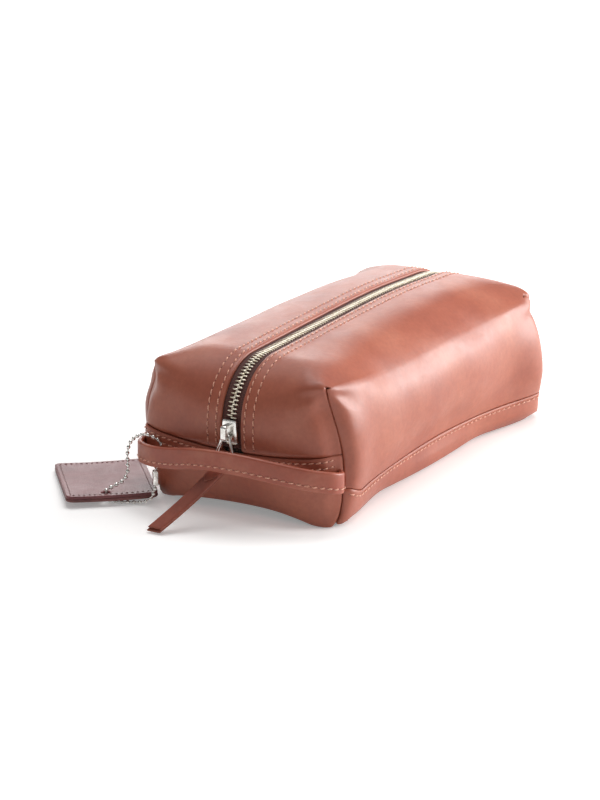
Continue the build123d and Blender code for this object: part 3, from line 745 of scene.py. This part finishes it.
def basePanel():
    # runs from one side seam down, under the bag and up to the other; its ends follow the corner
    # seams up the sides and the end walls' foot below
    drops = np.array([0, 0.12, 0.35, 0.75, 1.3, 2.6, 4.2, 6, 8, 10, 12, 14])
    share = edgeSteps(1.0, 0.0085, 0.006)
    length = 2 * form["cornerX"]

    def sideRow(side, drop):
        # a row on a long side, that far below the side seam
        top = sideSeam(-form["cornerX"] + length * share, side)
        z = top - drop * top / seamHeight
        nearSeam, _ = seamAt(z, -1.0, side)
        farSeam, _ = seamAt(z, 1.0, side)
        x = nearSeam + (farSeam - nearSeam) * share
        return np.stack([x, drawnIn(x, z, side), z], 1)

    def underRow(y):
        # a row under the bag, out to the foot of the end walls, which curve in to the corners
        reach = under["reach"] - under["drawnIn"] * (abs(y) / under["half"]) ** 3
        return np.stack([-reach + 2 * reach * share, 0 * share + y, 0 * share - under["below"]], 1)

    flat = np.linspace(-under["half"], under["half"], under["rows"])
    guess = np.array([sideRow(-1.0, d) for d in drops] + [underRow(y) for y in flat]
                     + [sideRow(1.0, d) for d in drops[::-1]])
    fromTop = np.concatenate([drops, 0 * flat + 20.0, drops[::-1]])
    fromEnd = length * np.minimum(share, 1 - share)
    depth = roll(fromEnd)[None] * 1.5 + roll(fromTop, 1.2)[:, None] - 0.35
    points = skin(guess, depth).reshape(-1, 3)
    return points, facedOut(points, gridFaces(len(guess), len(share)), coreOf)


bandFoot = 0.4


def overEnd(end, y, z):
    # a guess outside an end wall that closes on its two corner seams
    seamX, seamY = seamAt(z, end, 1.0)
    pull = np.exp(-((seamY - np.abs(y)) / 7.0))
    return np.stack([end * 142.0 * (1 - pull) + seamX * pull, y, z], -1)


def endBand(end):
    # across the end wall between two corner seams, up to its curved top edge
    share = edgeSteps(1.0, 0.014, 0.011)
    up = edgeSteps(1.0, 0.045, 0.035)
    top = bandTop((share * 2 - 1) * form["cornerY"])[None]
    z = bandFoot + (top - bandFoot) * up[:, None]
    _, seamY = seamAt(z, end, 1.0)
    y = (share * 2 - 1)[None] * seamY
    fromSeam = 2 * form["cornerY"] * np.minimum(share, 1 - share)[None]
    depth = roll(fromSeam) * 1.5 + roll(top - z, 1.1) + roll(z - bandFoot, 1.2) - 0.5
    points = skin(overEnd(end, y, z), depth).reshape(-1, 3)
    return points, facedOut(points, gridFaces(len(up), len(share)), coreOf)


leatherWall = 1.4
for sideName, sideSign in (("right", -1.0), ("left", 1.0)):
    points, faces = leatherPanel(sideSign)
    panel = put(sideName + "LeatherPanel", points, faces, bagLeather, "bag", [sideName + "_panel"],
                sheet=leatherWall)
points, faces = basePanel()
panel = put("baseLeather", points, faces, bagLeather, "bag", ["base_panel"], sheet=leatherWall)
for endName, endSign in (("strap", -1.0), ("far", 1.0)):
    points, faces = endBand(endSign)
    band = put(endName + "EndBand", points, faces, endLeather, "bag", [endName + "_end_band"],
               sheet=leatherWall)
print("leather ready")

# Inside

liningSize = {"depth": 5.2, "turns": 96, "rings": 48, "sheet": 0.6, "round": 400.0, "over": 200.0,
              "ball": (180.0, 100.0, 80.0), "middle": 40.0}


def innerShell():
    # the lining bag: a closed skin a few millimetres inside the leather, on a ball-shaped grid
    rise = np.linspace(0.02, pi - 0.02, liningSize["rings"])
    turns = np.linspace(0, 2 * pi, liningSize["turns"], endpoint=False)
    a, b = np.meshgrid(rise, turns, indexing="ij")
    far = np.stack([np.sin(a) * np.cos(b), np.sin(a) * np.sin(b), np.cos(a)], -1) * liningSize["ball"]
    far = far + [0, 0, liningSize["middle"]]
    points, faces = loft(skin(far, liningSize["depth"]))
    flat = np.stack([b / (2 * pi) * liningSize["round"], a / pi * liningSize["over"]], -1)
    return points, faces, np.vstack([flat.reshape(-1, 2), [[0, 0], [0, 0]]])


points, faces, uv = innerShell()
inside = ["right_lining", "left_lining", "base_lining", "base_board", "corner_bindings"]
lining = put("lining", points, faces, liningCloth, "bag", inside, uv=uv, sheet=liningSize["sheet"])

# Zip

zipSize = {"pitch": 2.5, "reach": 3.0, "hook": 0.7, "height": 1.7, "length": 1.12, "depth": 1.9,
           "toothLift": 0.35, "tapeColumns": 240}
# heights on the strap end and on the far end where each part of the zip stops
zipEnds = {"tape": (40.5, 45.0), "teeth": (57.5, 53.0), "stitches": (41.5, 44.0)}
# the tape's section, out and back: distance from the zip's middle, and height
tapeAcross = np.array([9.5, 8.0, 6.6, 5.4, 4.4, 3.6, 3.0, 2.3, 1.6, 1.15,
                       0.9, 1.05, 1.6, 2.3, 3.0, 3.6, 5.4, 8.0, 9.5])
tapeHeight = np.array([-0.1, 0, 0.02, 0, 0.0, 0.02, 0.1, 0.35, 0.45, 0.35,
                       0, -0.35, -0.45, -0.35, -0.3, -0.35, -0.4, -0.45, -0.5])


def zipRun(part):
    # distances along the outline between which that part lies
    nearHeight, farHeight = zipEnds[part]
    return runAtHeight(nearHeight, True), runAtHeight(farHeight, False)


def zipPlace(s, across, out):
    # a point beside the zip line: along the outline, across it, and out from the tape's middle;
    # the level is that of the leather at the middle, less the tape's depth
    x, z, nx, nz = onLength(s)
    middle = np.stack([x, np.zeros_like(x) + 0.01, z], -1)
    skinMiddle = skin(middle, zipSize["depth"])
    return skinMiddle + np.stack([nx * out, across + 0 * x, nz * out], -1)


def tapeStrip(side):
    # flat cloth with a corded inner edge: its section is carried along the zip line
    runs = np.linspace(*zipRun("tape"), zipSize["tapeColumns"])
    rings = np.stack([zipPlace(runs, side * a, h) for a, h in zip(tapeAcross, tapeHeight)], axis=1)
    points, faces = loft(rings)
    girth = np.cumsum(np.abs(np.diff(tapeAcross, prepend=tapeAcross[0])))
    flat = np.stack([np.repeat(runs, len(girth)), np.tile(girth, len(runs))], 1)
    return points, faces, np.vstack([flat, [[runs[0], 0], [runs[-1], 0]]])


def blockAlong(along, across, heights, insets):
    # a small solid: a flat outline repeated at several heights, each drawn in by an inset
    outline = np.stack([along, across], 1)
    middle = outline.mean(axis=0)
    rings = [np.column_stack([middle + (outline - middle) * (1 - inset), np.full(len(outline), height)])
             for height, inset in zip(heights, insets)]
    return loft(np.array(rings))


def repeatAlong(points, faceBlocks, places, axes):
    # copies of a small solid at many places; axes are (along, across, out) unit vectors for each
    along, across, out = axes
    n = len(points)
    turned = (points[None, :, 0, None] * along[:, None] + points[None, :, 1, None] * across[:, None]
              + points[None, :, 2, None] * out[:, None] + places[:, None])
    shift = (np.arange(len(places)) * n)[:, None, None]
    blocks = [(f[None] + shift).reshape(-1, f.shape[1]) for f in faceBlocks]
    return turned.reshape(-1, 3), blocks


def teeth(side):
    # one row: each tooth has a wide foot on the tape, a waist and a round head over the middle line
    size = zipSize
    first = size["pitch"] / 4 + (size["pitch"] / 2 if side > 0 else 0)
    start, stop = zipRun("teeth")
    runs = np.arange(start + first, stop, size["pitch"])
    h, r = size["length"] / 2, size["reach"]
    across = np.array([-size["hook"], -0.45, 0.5, 1.5, r, r, 1.5, 0.5, -0.45])
    along = np.array([0, -h * 0.9, -h * 0.95, -h * 0.72, -h * 0.6, h * 0.6, h * 0.72, h * 0.95, h * 0.9])
    top = size["height"] / 2
    points, faces = blockAlong(along, across * side, [-top, top - 0.3, top], [0.1, 0, 0.26])
    places = zipPlace(runs, 0.0, size["toothLift"])
    _, _, nx, nz = onLength(runs)
    out = np.stack([nx, 0 * nx, nz], 1)
    forward = np.stack([nz, 0 * nx, -nx], 1)
    side3 = np.tile([0.0, 1.0, 0.0], (len(runs), 1))
    return repeatAlong(points, faces, places, (forward, side3, out))


for sideName, sideSign in (("right", -1.0), ("left", 1.0)):
    points, faces, uv = tapeStrip(sideSign)
    tape = put(sideName + "ZipTape", points, faces, tapeCloth, "bag", ["zip_tape_" + sideName], uv=uv)
    points, faces = teeth(sideSign)
    row = put(sideName + "ZipTeeth", points, faces, paleBrass, "bag", ["zip_teeth_" + sideName])
print("zip ready")

# Stitches

stitchSize = {"length": 3.3, "thick": 0.38, "pitch": 4.6, "slant": 0.16, "hole": 0.34}


def stitchSolid(length, thick):
    # one stitch: a thread that rises from a hole, lies on the leather and dips into the next
    t = np.linspace(-1, 1, 6)
    centre = np.stack([t * length / 2, 0 * t, thick * (0.75 - 1.5 * np.abs(t) ** 3)], 1)
    radius = thick * np.array([0.55, 1.0, 1.12, 1.12, 1.0, 0.55])
    turns = np.linspace(0, 2 * pi, 6, endpoint=False)
    circle = np.stack([0 * turns, np.cos(turns), np.sin(turns)], 1)
    return loft(centre[:, None] + radius[:, None, None] * circle)


def holeShadeSolid(radius):
    # painted shade of a needle hole: a flat dark lens where the needle went through, a fan above and a fan
    # below one ring of points
    count = 8
    turns = np.linspace(0, 2 * pi, count, endpoint=False)
    ring = np.stack([radius * 1.15 * np.cos(turns), radius * np.sin(turns), 0 * turns + 0.03], 1)
    points = np.vstack([ring, [0, 0, 0.07], [0, 0, -0.25]])
    k = np.arange(count)
    fans = [np.stack([np.full(count, count + i), k, (k + 1) % count], 1) for i in (0, 1)]
    return points, [facedOut(points, f, lambda p: 0 * p) for f in fans]


stitchRows, holeShadeRows = {}, {}


def sew(owner, line, normals, pitch=None, length=None, thick=None):
    # stitches at an even pitch along a line lying on the leather
    pitch = pitch or stitchSize["pitch"]
    length = length or stitchSize["length"]
    run = lengthAlong(line)
    count = max(2, int(run[-1] / pitch))
    at = (np.arange(count) + 0.5) * run[-1] / count

    def frameAt(where):
        # place, direction along the seam and direction out of the leather
        place, ahead, behind, out = (np.stack([np.interp(w, run, values[:, k]) for k in range(3)], 1)
                                     for w, values in ((where, line), (where + 0.6, line),
                                                       (where - 0.6, line), (where, normals)))
        return place, unit(ahead - behind), unit(out)

    place, along, out = frameAt(at)
    across = unit(np.cross(out, along))
    along = unit(along + across * stitchSize["slant"])
    across = np.cross(out, along)
    thread = stitchSolid(length, thick or stitchSize["thick"])
    stitchRows.setdefault(owner, []).append(repeatAlong(*thread, place, (along, across, out)))
    # a dark lens of painted shade in each needle hole, half a pitch behind each stitch
    place, along, out = frameAt(np.clip(at - pitch / 2, 0, run[-1]))
    hole = holeShadeSolid(stitchSize["hole"])
    holeShadeRows.setdefault(owner, []).append(repeatAlong(*hole, place, (along, np.cross(out, along), out)))


def gather(rows):
    # several meshes as one, with each one's faces moved on past the points before it
    starts = np.cumsum([0] + [len(p) for p, _ in rows])
    return np.vstack([p for p, _ in rows]), [f + n for n, (_, faces) in zip(starts, rows) for f in faces]


def sewOnSkin(owner, guess, depth, **kind):
    # the same for a line guessed above the leather, which is dropped onto it first
    line, normals = skinNormal(evenly(np.asarray(guess, float), 400), depth)
    sew(owner, line, normals, **kind)


# two rows each side of the zip, from its middle; two below each end band's top; one below each
# side seam
seamRows = {"zip": (9.0, 14.4), "band": (2.3, 5.8), "base": 2.7}
for side in (-1.0, 1.0):
    for offset in seamRows["zip"]:
        x, z, _, _ = onLength(np.linspace(*zipRun("stitches"), 400))
        sewOnSkin("zipStitches", np.stack([x, np.full(400, side * offset), z], 1), 0.0, pitch=4.5)
for end in (-1.0, 1.0):
    for drop in seamRows["band"]:
        y = np.linspace(-58, 58, 200)
        sewOnSkin("bandStitches", overEnd(end, y, bandTop(y) - drop), -0.5, pitch=4.0, length=2.8)
for side in (-1.0, 1.0):
    x = np.linspace(-115.5, 115.5, 300)
    z = sideSeam(x, side) - seamRows["base"]
    sewOnSkin("baseStitches", np.stack([x, np.full(300, side * 64.0), z], 1), -0.35, pitch=4.6)

# Wrist strap

strapSize = {"height": 12.0, "thick": 3.0, "notch": 0.5, "steps": 170, "seamUp": 2.9}
strapRoute = [(-109.5, -53.0, 26.2), (-113.4, -57.3, 26.6), (-117.6, -60.9, 27.0), (-122.2, -61.7, 27.8),
              (-128.6, -59.0, 29.5), (-136.9, -49.1, 32.0), (-144.7, -31.7, 35.7), (-148, -14.3, 37.6),
              (-149.1, 2.6, 37.8), (-149, 16.7, 36.7), (-147.8, 27.2, 34.6), (-145.8, 37.0, 32.9),
              (-142.4, 48.0, 31.6), (-136.0, 57.5, 30.7), (-127.5, 61.8, 30.0), (-121.0, 61.2, 29.4),
              (-116.5, 58.6, 29.0), (-112.5, 55.0, 28.8), (-109.5, 51.5, 28.6)]


def sweepSection(line, section, upHint, closedLine=False):
    # a closed section (across, up) carried along a line, with its up axis kept near the hint
    if closedLine:
        ahead = unit(np.roll(line, -1, 0) - np.roll(line, 1, 0))
    else:
        ahead = unit(np.gradient(line, axis=0))
    up = unit(upHint - ahead * np.sum(upHint * ahead, axis=1, keepdims=True))
    across = np.cross(ahead, up)
    rings = line[:, None] + section[:, :1] * across[:, None] + section[:, 1:] * up[:, None]
    points, faces = loft(rings, closedLine)
    return points, faces, across, up


def foldedSection(height, thick, notch, count=9):
    # folded leather: round at the top fold, two layers side by side at the lower edge with a groove
    h, t = height / 2, thick / 2
    a = np.linspace(0, pi, count)
    top = np.stack([t * np.cos(a), h - t * 0.8 + t * 0.8 * np.sin(a)], 1)
    left = np.array([[-t * 1.02, h * 0.4], [-t * 1.05, 0], [-t, -h * 0.45], [-t * 0.93, -h + 1.4],
                     [-t * 0.9, -h + 0.5], [-t * 0.72, -h + 0.08], [-t * 0.3, -h + 0.1]])
    return np.vstack([top, left, [[0, -h + notch]], left[::-1] * [-1, 1]])


steps = strapSize["steps"]
strapLine = smoothLine(strapRoute, steps)
section = foldedSection(strapSize["height"], strapSize["thick"], strapSize["notch"])
points, faces, strapAcross, strapUp = sweepSection(strapLine, section, np.tile([0.0, 0.0, 1.0], (steps, 1)))
strap = put("wristStrap", points, faces, strapLeather, None, ["handle_strap", "handle_core"])
strapMiddle = [-90, 0, 35]
strapOut = strapAcross * np.sign(np.sum(strapAcross * (strapLine - strapMiddle), axis=1, keepdims=True))
for face in (1.0, -1.0):
    line = (strapLine + strapOut * face * (strapSize["thick"] / 2 * 0.97)
            - strapUp * (strapSize["height"] / 2 - strapSize["seamUp"]))
    sew("strapStitches", line[9:-6], (strapOut * face)[9:-6], pitch=4.3, length=3.0)
print("strap ready")

# Slider, ring and tab


def tube(line, radius, sides=12, closedLine=False):
    # round wire along a line
    turns = np.linspace(0, 2 * pi, sides, endpoint=False)
    section = np.stack([np.cos(turns), np.sin(turns)], 1) * radius
    hint = np.tile([0.31, 0.52, 0.79], (len(line), 1))
    return sweepSection(line, section, hint, closedLine)[:2]


# the slider and the stops keep the part's own solids, with metal and eased edges
for name in ("slider_body", "slider_crown", "slider_lock_spring", "zip_top_stops", "zip_bottom_stop"):
    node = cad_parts[name]
    node.data.materials.clear()
    node.data.materials.append(nickel if name.startswith("slider") else paleBrass)
    weld = node.modifiers.new("weld", "WELD")
    weld.merge_threshold = 0.00002
    ease = node.modifiers.new("ease", "BEVEL")
    ease.width = (0.35 if name.startswith("slider_b") else 0.22) * mm
    ease.segments = 2
    ease.limit_method = "ANGLE"
    ease.angle_limit = radians(35)

ringTop, ringFoot = np.array([-138.2, 0, 49.8]), np.array([-141.298, 0, 33.085])
ringWire = 0.85
# half of the loop, from its top round to its foot: (distance across, share of the way down)
ringHalf = [(0.9, 0.02), (2.3, 0.1), (3.3, 0.3), (5.0, 0.62), (6.1, 0.86), (6.0, 0.97), (5.2, 1.0)]


def pullRing():
    # wire loop: narrow round top in the crown, arms spreading to a wide foot that holds the tab
    outline = np.array(ringHalf + [(0, 1.0)] + [(-across, share) for across, share in ringHalf[::-1]])
    control = ringTop + (ringFoot - ringTop) * outline[:, 1:] + outline[:, :1] * [0, 1.0, 0]
    return tube(smoothLine(control, 120, closed=True), ringWire, closedLine=True)


points, blocks = pullRing()
put("pullRing", points, blocks, nickel, "ring", ["pull_ring"])

tabSize = {"width": 8.8, "layer": 1.35, "steps": 60, "edge": 0.3, "sag": 1.2, "flap": 0.7, "point": 5.0,
           "fold": (1.75, 1.6, 0.55)}
tabFoot = np.array([-176.5, 24.0, 1.7])
tabAhead = unit(tabFoot - ringFoot)
tabUp = unit(np.cross(tabAhead, [0, -1.0, 0]))


def tabLayer(low, high, startShare, stopShare, point=0.0, widen=1.0):
    # a flat strip from the ring to the floor, level across, that sags a little; a pointed end
    # reaches further in its middle than at its edges
    n, e = tabSize["steps"], tabSize["edge"]
    share = np.linspace(startShare, stopShare, n)
    sag = -tabSize["sag"] * np.sin(np.clip(share, 0, 1) * pi)
    line = ringFoot + (tabFoot - ringFoot) * share[:, None] + sag[:, None] * [0, 0, 1.0]
    w = tabSize["width"] / 2 * widen
    upper = np.array([(w, high - e), (w - e, high), (w / 2, high), (0, high)])
    lower = np.array([(0, low), (w / 2, low), (w - e, low), (w, low + e)])
    mirror = [-1, 1]
    section = np.vstack([lower, upper, upper[-2::-1] * mirror, lower[:0:-1] * mirror])
    rings = line[:, None] + section[:, :1] * [0, 1.0, 0] + section[:, 1:] * tabUp
    pointed = smoothStep(np.arange(n), n - 12, n - 1)[:, None] * (1 - np.abs(section[:, 0]) / w)
    return loft(rings + (pointed * point)[..., None] * tabAhead)


def tabFold():
    # the leather going round the ring's foot
    reach, rise, t = tabSize["fold"]
    a = np.linspace(-pi * 0.75, pi * 0.75, 25)[:, None]
    middle = ringFoot - tabAhead * np.cos(a) * reach + tabUp * np.sin(a) * rise
    w = tabSize["width"] / 2
    out = np.cross(unit(np.gradient(middle, axis=0)), [0, 1.0, 0])
    across = np.array([-w, -w / 2, 0, w / 2, w])
    section = np.stack([np.append(across, across[::-1]), np.repeat([-t, t], 5)], 1)
    return loft(middle[:, None] + section[:, :1] * [0, 1.0, 0] + section[:, 1:] * out[:, None])


layer = tabSize["layer"]
for name, made, leather, replaced in (
        ("pullTabFront", tabLayer(0.05, layer, 0.02, 0.965), tabLeather, ["pull_tab_front"]),
        ("pullTabBack", tabLayer(-layer, -0.05, 0.02, 1.0, widen=0.96), edgeLeather, ["pull_tab_back"]),
        ("pullTabFlap", tabLayer(layer, layer + tabSize["flap"], 0.0, 0.16, tabSize["point"], 0.97),
         tabLeather, []),
        ("pullTabFold", tabFold(), tabLeather, [])):
    put(name, *made, leather, "tab", replaced)
print("pull ready")

# Ball chain and tag

chainSize = {"ball": 1.2, "pitch": 3.5, "wire": 0.42}
couplingFoot = (-137.5, 46.8, 12.8)
chainRoute = [(-146.2, 74.3, 7.4), (-144.8, 70.4, 10.2), (-142.0, 65.8, 13.4), (-140.2, 63.8, 18.5),
              (-139.2, 64.3, 24.5), (-138.6, 64.6, 30.0), (-138.4, 62.6, 35.8), (-139.0, 58.0, 40.0),
              (-139.0, 53.2, 41.8), (-136.2, 49.8, 40.6), (-132.4, 47.8, 37.2), (-130.2, 46.8, 32.2),
              (-131.2, 46.6, 27.2), (-134.8, 46.7, 23.9), (-137.5, 46.8, 21.0), (-137.5, 46.8, 17.1),
              (-137.5, 46.8, 13.2), (-137.4, 48.6, 7.6), (-138.0, 51.0, 3.4), (-139.8, 56.4, 1.6),
              (-143.2, 64.6, 1.45), (-145.7, 72.0, 1.6), (-146.5, 74.6, 3.9)]


def ballSolid(radius):
    # a small ball: five rings of nine points, closed at both poles
    rise, turn = np.linspace(0, pi, 7)[1:-1], np.linspace(0, 2 * pi, 9, endpoint=False)
    a, b = np.meshgrid(rise, turn, indexing="ij")
    rings = np.stack([np.sin(a) * np.cos(b), np.sin(a) * np.sin(b), np.cos(a)], -1) * radius
    points, faces = loft(rings)
    points[-2:] = [[0, 0, radius], [0, 0, -radius]]
    return points, faces


def chainPieces():
    # balls at an even pitch round the closed route, and a short wire between each two
    line = smoothLine(chainRoute, 1200, closed=True)
    closedLine = np.vstack([line, line[:1]])
    run = lengthAlong(closedLine)
    count = int(round(run[-1] / chainSize["pitch"]))
    at = np.arange(count) * run[-1] / count
    centres = np.stack([np.interp(at, run, closedLine[:, k]) for k in range(3)], 1)
    after = np.roll(centres, -1, 0)
    ahead = unit(after - centres)
    side = unit(np.cross(ahead, [0.3, 0.2, 0.93]))
    axes = (side, np.cross(ahead, side), ahead)
    turns = np.linspace(0, 2 * pi, 6, endpoint=False)
    circle = np.stack([np.cos(turns), np.sin(turns), 0 * turns], 1) * chainSize["wire"]
    reach = chainSize["pitch"] / 2 * 0.55
    wire = loft(np.array([circle + [0, 0, h] for h in (-reach, 0, reach)]))
    return gather([repeatAlong(*ballSolid(chainSize["ball"]), centres, axes),
                   repeatAlong(*wire, (centres + after) / 2, axes)])


points, blocks = chainPieces()
put("ballChain", points, blocks, chainSteel, "chain", ["ball_chain"])


couplingSize = {"length": 8.6, "sides": 20, "outer": (1.75, 1.95, 2.0, 1.85), "inner": (1.5, 1.5, 1.52),
                "middle": 1.7}


def coupling():
    # an open sleeve with pinched ends: its wall's section, turned about an upright axis
    h, sides = couplingSize["length"], couplingSize["sides"]
    r = np.array([*couplingSize["outer"], *couplingSize["outer"][::-1],
                  *couplingSize["inner"], *couplingSize["inner"][::-1]])
    z = np.array([0, 0.5, 1.4, 2.2, h - 2.2, h - 1.4, h - 0.5, h, h, h - 0.5, h - 1.4, 1.4, 0.5, 0])
    turns = np.linspace(0, 2 * pi, sides, endpoint=False)

    def turned(radii, heights):
        rings = [np.stack([a * np.cos(turns), a * np.sin(turns), b + 0 * turns], 1)
                 for a, b in zip(radii, heights)]
        return np.vstack(rings) + couplingFoot

    points = turned(r, z)
    # the faces turn away from the middle of the wall
    wall = turned(0 * r + couplingSize["middle"], np.clip(z, 0.3, h - 0.3))
    faces = gridFaces(len(z), sides, closeColumns=True, closeRows=True)
    return points, facedOut(points, faces, lambda a: wall[faces[:, 0]])


points, faces = coupling()
put("chainCoupling", points, faces, chainSteel, "chain", ["chain_coupling"])

tagSize = {"length": 70.0, "width": 52.0, "layer": 1.7, "corner": 4.0, "turn": -50.0, "frontLift": 3.0,
           "backLift": 0.15, "hole": 2.6, "holePlace": (23.0, 6.4), "foot": (-166.0, 88.0), "rays": 180,
           "edgeRound": 0.45, "curl": 2.64, "curlMiddle": 0.45, "seamIn": 3.0}


def tagAxes():
    # across the tag's front edge, back along it (its front edge stands higher) and out of its face
    a = radians(tagSize["turn"])
    across = np.array([cos(a), sin(a), 0.0])
    slope = (tagSize["frontLift"] - tagSize["backLift"]) / tagSize["length"]
    back = unit(np.array([-across[1], across[0], -slope]))
    return across, back, np.cross(across, back)


def onTag(p, level):
    # from the tag's own flat coordinates to the bag's, with a slight curl across it
    across, back, up = tagAxes()
    share = np.clip(p[:, 0] / tagSize["width"], 0, 1)
    curl = tagSize["curl"] * (share - tagSize["curlMiddle"]) ** 2
    foot = np.array([*tagSize["foot"], tagSize["frontLift"]])
    return foot + p[:, :1] * across + p[:, 1:] * back + (level + curl)[:, None] * up


def tagSheet(low, high, shrink=0.0):
    # a rounded rectangle with a round hole: rings of points run from the hole out to the edge, on
    # both faces, with a rounded rim
    w, l, r = tagSize["width"], tagSize["length"], tagSize["corner"]
    n, hole = tagSize["rays"], np.array(tagSize["holePlace"])
    turns = np.linspace(0, 2 * pi, n, endpoint=False) + 0.01
    rays = np.stack([np.cos(turns), np.sin(turns)], 1)
    near, far = np.zeros(n), np.full(n, 120.0)
    # where each ray meets the rounded rectangle, by halving its signed distance
    for _ in range(30):
        half = (near + far) / 2
        q = np.abs(hole + rays * half[:, None] - [w / 2, l / 2]) - [w / 2 - shrink - r, l / 2 - shrink - r]
        d = np.linalg.norm(np.maximum(q, 0), axis=1) + np.minimum(q.max(1), 0) - r
        near, far = np.where(d < 0, half, near), np.where(d < 0, far, half)
    flat = near - tagSize["edgeRound"]
    start = np.full(n, tagSize["hole"])
    upper = [start + (flat - start) * s for s in (0, 0.02, 0.06, 0.15, 0.3, 0.5, 0.7, 0.85, 0.94)]
    upper += [flat, near - 0.15, near]
    rises = [high - 0.25] + [high] * 9 + [high - 0.12, high - 0.4]
    falls = [low + 0.4, low + 0.12] + [low] * 9 + [low + 0.25]
    points = np.array([onTag(hole + rays * ring[:, None], level)
                       for ring, level in zip(upper + upper[::-1], rises + falls)])
    middle = ((points + points[::-1]) / 2).reshape(-1, 3)
    points = points.reshape(-1, 3)
    faces = gridFaces(2 * len(upper), n, closeColumns=True, closeRows=True)
    return points, facedOut(points, faces, lambda a: middle[faces[:, 0]])


thick = tagSize["layer"]
points, faces = tagSheet(0.0, thick)
put("tagBack", points, faces, tagEdge, "tag", ["tag_back"])
points, faces = tagSheet(thick + 0.02, 2 * thick, 0.1)
put("tagFront", points, faces, tagLeather, "tag", ["tag_front"])
# a row of stitches round the tag
a, b, c = tagSize["seamIn"], tagSize["width"] - tagSize["seamIn"], tagSize["length"] - tagSize["seamIn"]
loop = evenly(np.array([(a, a), (b, a), (b, c), (a, c), (a, a)], float), 300)
face = np.tile(tagAxes()[2], (300, 1))
sew("tagStitches", onTag(loop, 2 * thick), face, pitch=3.0, length=1.9, thick=0.2)

owners = {"zipStitches": "bag", "bandStitches": "bag", "baseStitches": "bag", "tagStitches": "tag"}
strapStitching = []
for owner, rows in stitchRows.items():
    thread = tagThread if owner == "tagStitches" else peachThread
    made = [put(owner, *gather(rows), thread, owners.get(owner))]
    # the tag's fine holes don't show, and get no painted hole shade
    if owner != "tagStitches":
        name = owner.replace("Stitches", "NeedleHoles")
        made.append(put(name, *gather(holeShadeRows[owner]), holeShade, owners.get(owner)))
    if owner == "strapStitches":
        strapStitching = made
# the strap and its stitches have their placement baked into their own points, with no body
for piece in (strap, *strapStitching):
    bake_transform(piece)
print("chain, tag and stitches ready")

# Stage and light

stageLook = {"floor": "#F4F3F2", "fill": 0.25, "near": 0.3, "far": 0.9, "reach": 6000.0, "room": 0.27}


def floorMaterial():
    # Matte paper sweep; what the camera and the metals see of it is lifted to white, shadows stay
    material, tree = newMaterial("paperSweep")
    path = addNode(tree, "LightPath")
    place = addNode(tree, "TexCoord")
    away = addNode(tree, "VectorMath", {"operation": "LENGTH"}, {0: (place, "Object")})
    lift = addNode(tree, "MapRange", {"interpolation_type": "SMOOTHSTEP"},
                   {"Value": (away, "Value"), "From Min": stageLook["near"], "From Max": stageLook["far"],
                    "To Min": stageLook["fill"], "To Max": 1.0})
    seen = addNode(tree, "Math", {"operation": "MAXIMUM"},
                   {0: (path, "Is Camera Ray"), 1: (path, "Is Glossy Ray")})
    strength = addNode(tree, "Math", {"operation": "MULTIPLY"}, {0: (seen, "Value"), 1: (lift, "Result")})
    grainy = addNode(tree, "TexNoise", inputs={"Vector": (place, "Object"), "Scale": perMetre(3.0)})
    tone = rampStops(addNode(tree, "ValToRGB", inputs={"Fac": (grainy, "Fac")}),
                     [(0.3, toLinear(stageLook["floor"])), (0.7, toLinear("#F7F6F5"))])
    shader = addNode(tree, "BsdfPrincipled", inputs={"Base Color": (tone, "Color"), "Roughness": 0.95,
                                                     "Specular IOR Level": 0.05,
                                                     "Emission Color": grey(1.0),
                                                     "Emission Strength": (strength, "Value")})
    finishMaterial(tree, shader)
    return material


r, z = stageLook["reach"], -0.1
corners = np.array([(-r, -r, z), (r, -r, z), (r, r, z), (-r, r, z)])
put("floorSweep", corners, np.array([[0, 1, 2, 3]]), floorMaterial(), None)


def makeWorld():
    # an even grey room as light; the camera sees it white
    world = bpy.data.worlds.new("studio")
    bpy.context.scene.world = world
    world.use_nodes = True
    tree = world.node_tree
    tree.nodes.clear()
    path = addNode(tree, "LightPath")
    lit = addNode(tree, "Background", inputs={"Color": grey(1.0), "Strength": stageLook["room"]})
    shown = addNode(tree, "Background", inputs={"Color": grey(1.0), "Strength": 1.0})
    seen = addNode(tree, "Math", {"operation": "MAXIMUM"},
                   {0: (path, "Is Camera Ray"), 1: (path, "Is Transmission Ray")})
    mix = addNode(tree, "MixShader", inputs={0: (seen, "Value"), 1: (lit, 0), 2: (shown, 0)})
    addNode(tree, "OutputWorld", inputs={"Surface": (mix, 0)})


def areaLamp(name, place, target, size, power):
    # a soft box that faces its target; metres and watts
    lamp = bpy.data.lights.new(name, "AREA")
    lamp.shape = "RECTANGLE"
    lamp.size, lamp.size_y = size
    lamp.energy = power
    holder = bpy.data.objects.new(name, lamp)
    bpy.context.scene.collection.objects.link(holder)
    holder.location = place
    holder.rotation_euler = (Vector(target) - Vector(place)).to_track_quat("-Z", "Y").to_euler()


# each lamp's place, the point it faces, its size and its power
lamps = {
    "overhead": ((0.35, 0.1, 1.6), (0, 0, 0), (1.4, 1.2), 19.0),
    "rightSweep": ((1.25, -1.25, 0.5), (0, 0, 0.05), (1.5, 0.8), 42.0),
    "backGlow": ((1.4, 0.9, 0.5), (0, 0, 0.06), (1.0, 0.6), 7.0),
}
makeWorld()
for lampName, lampValues in lamps.items():
    areaLamp(lampName, *lampValues)
print("stage ready")
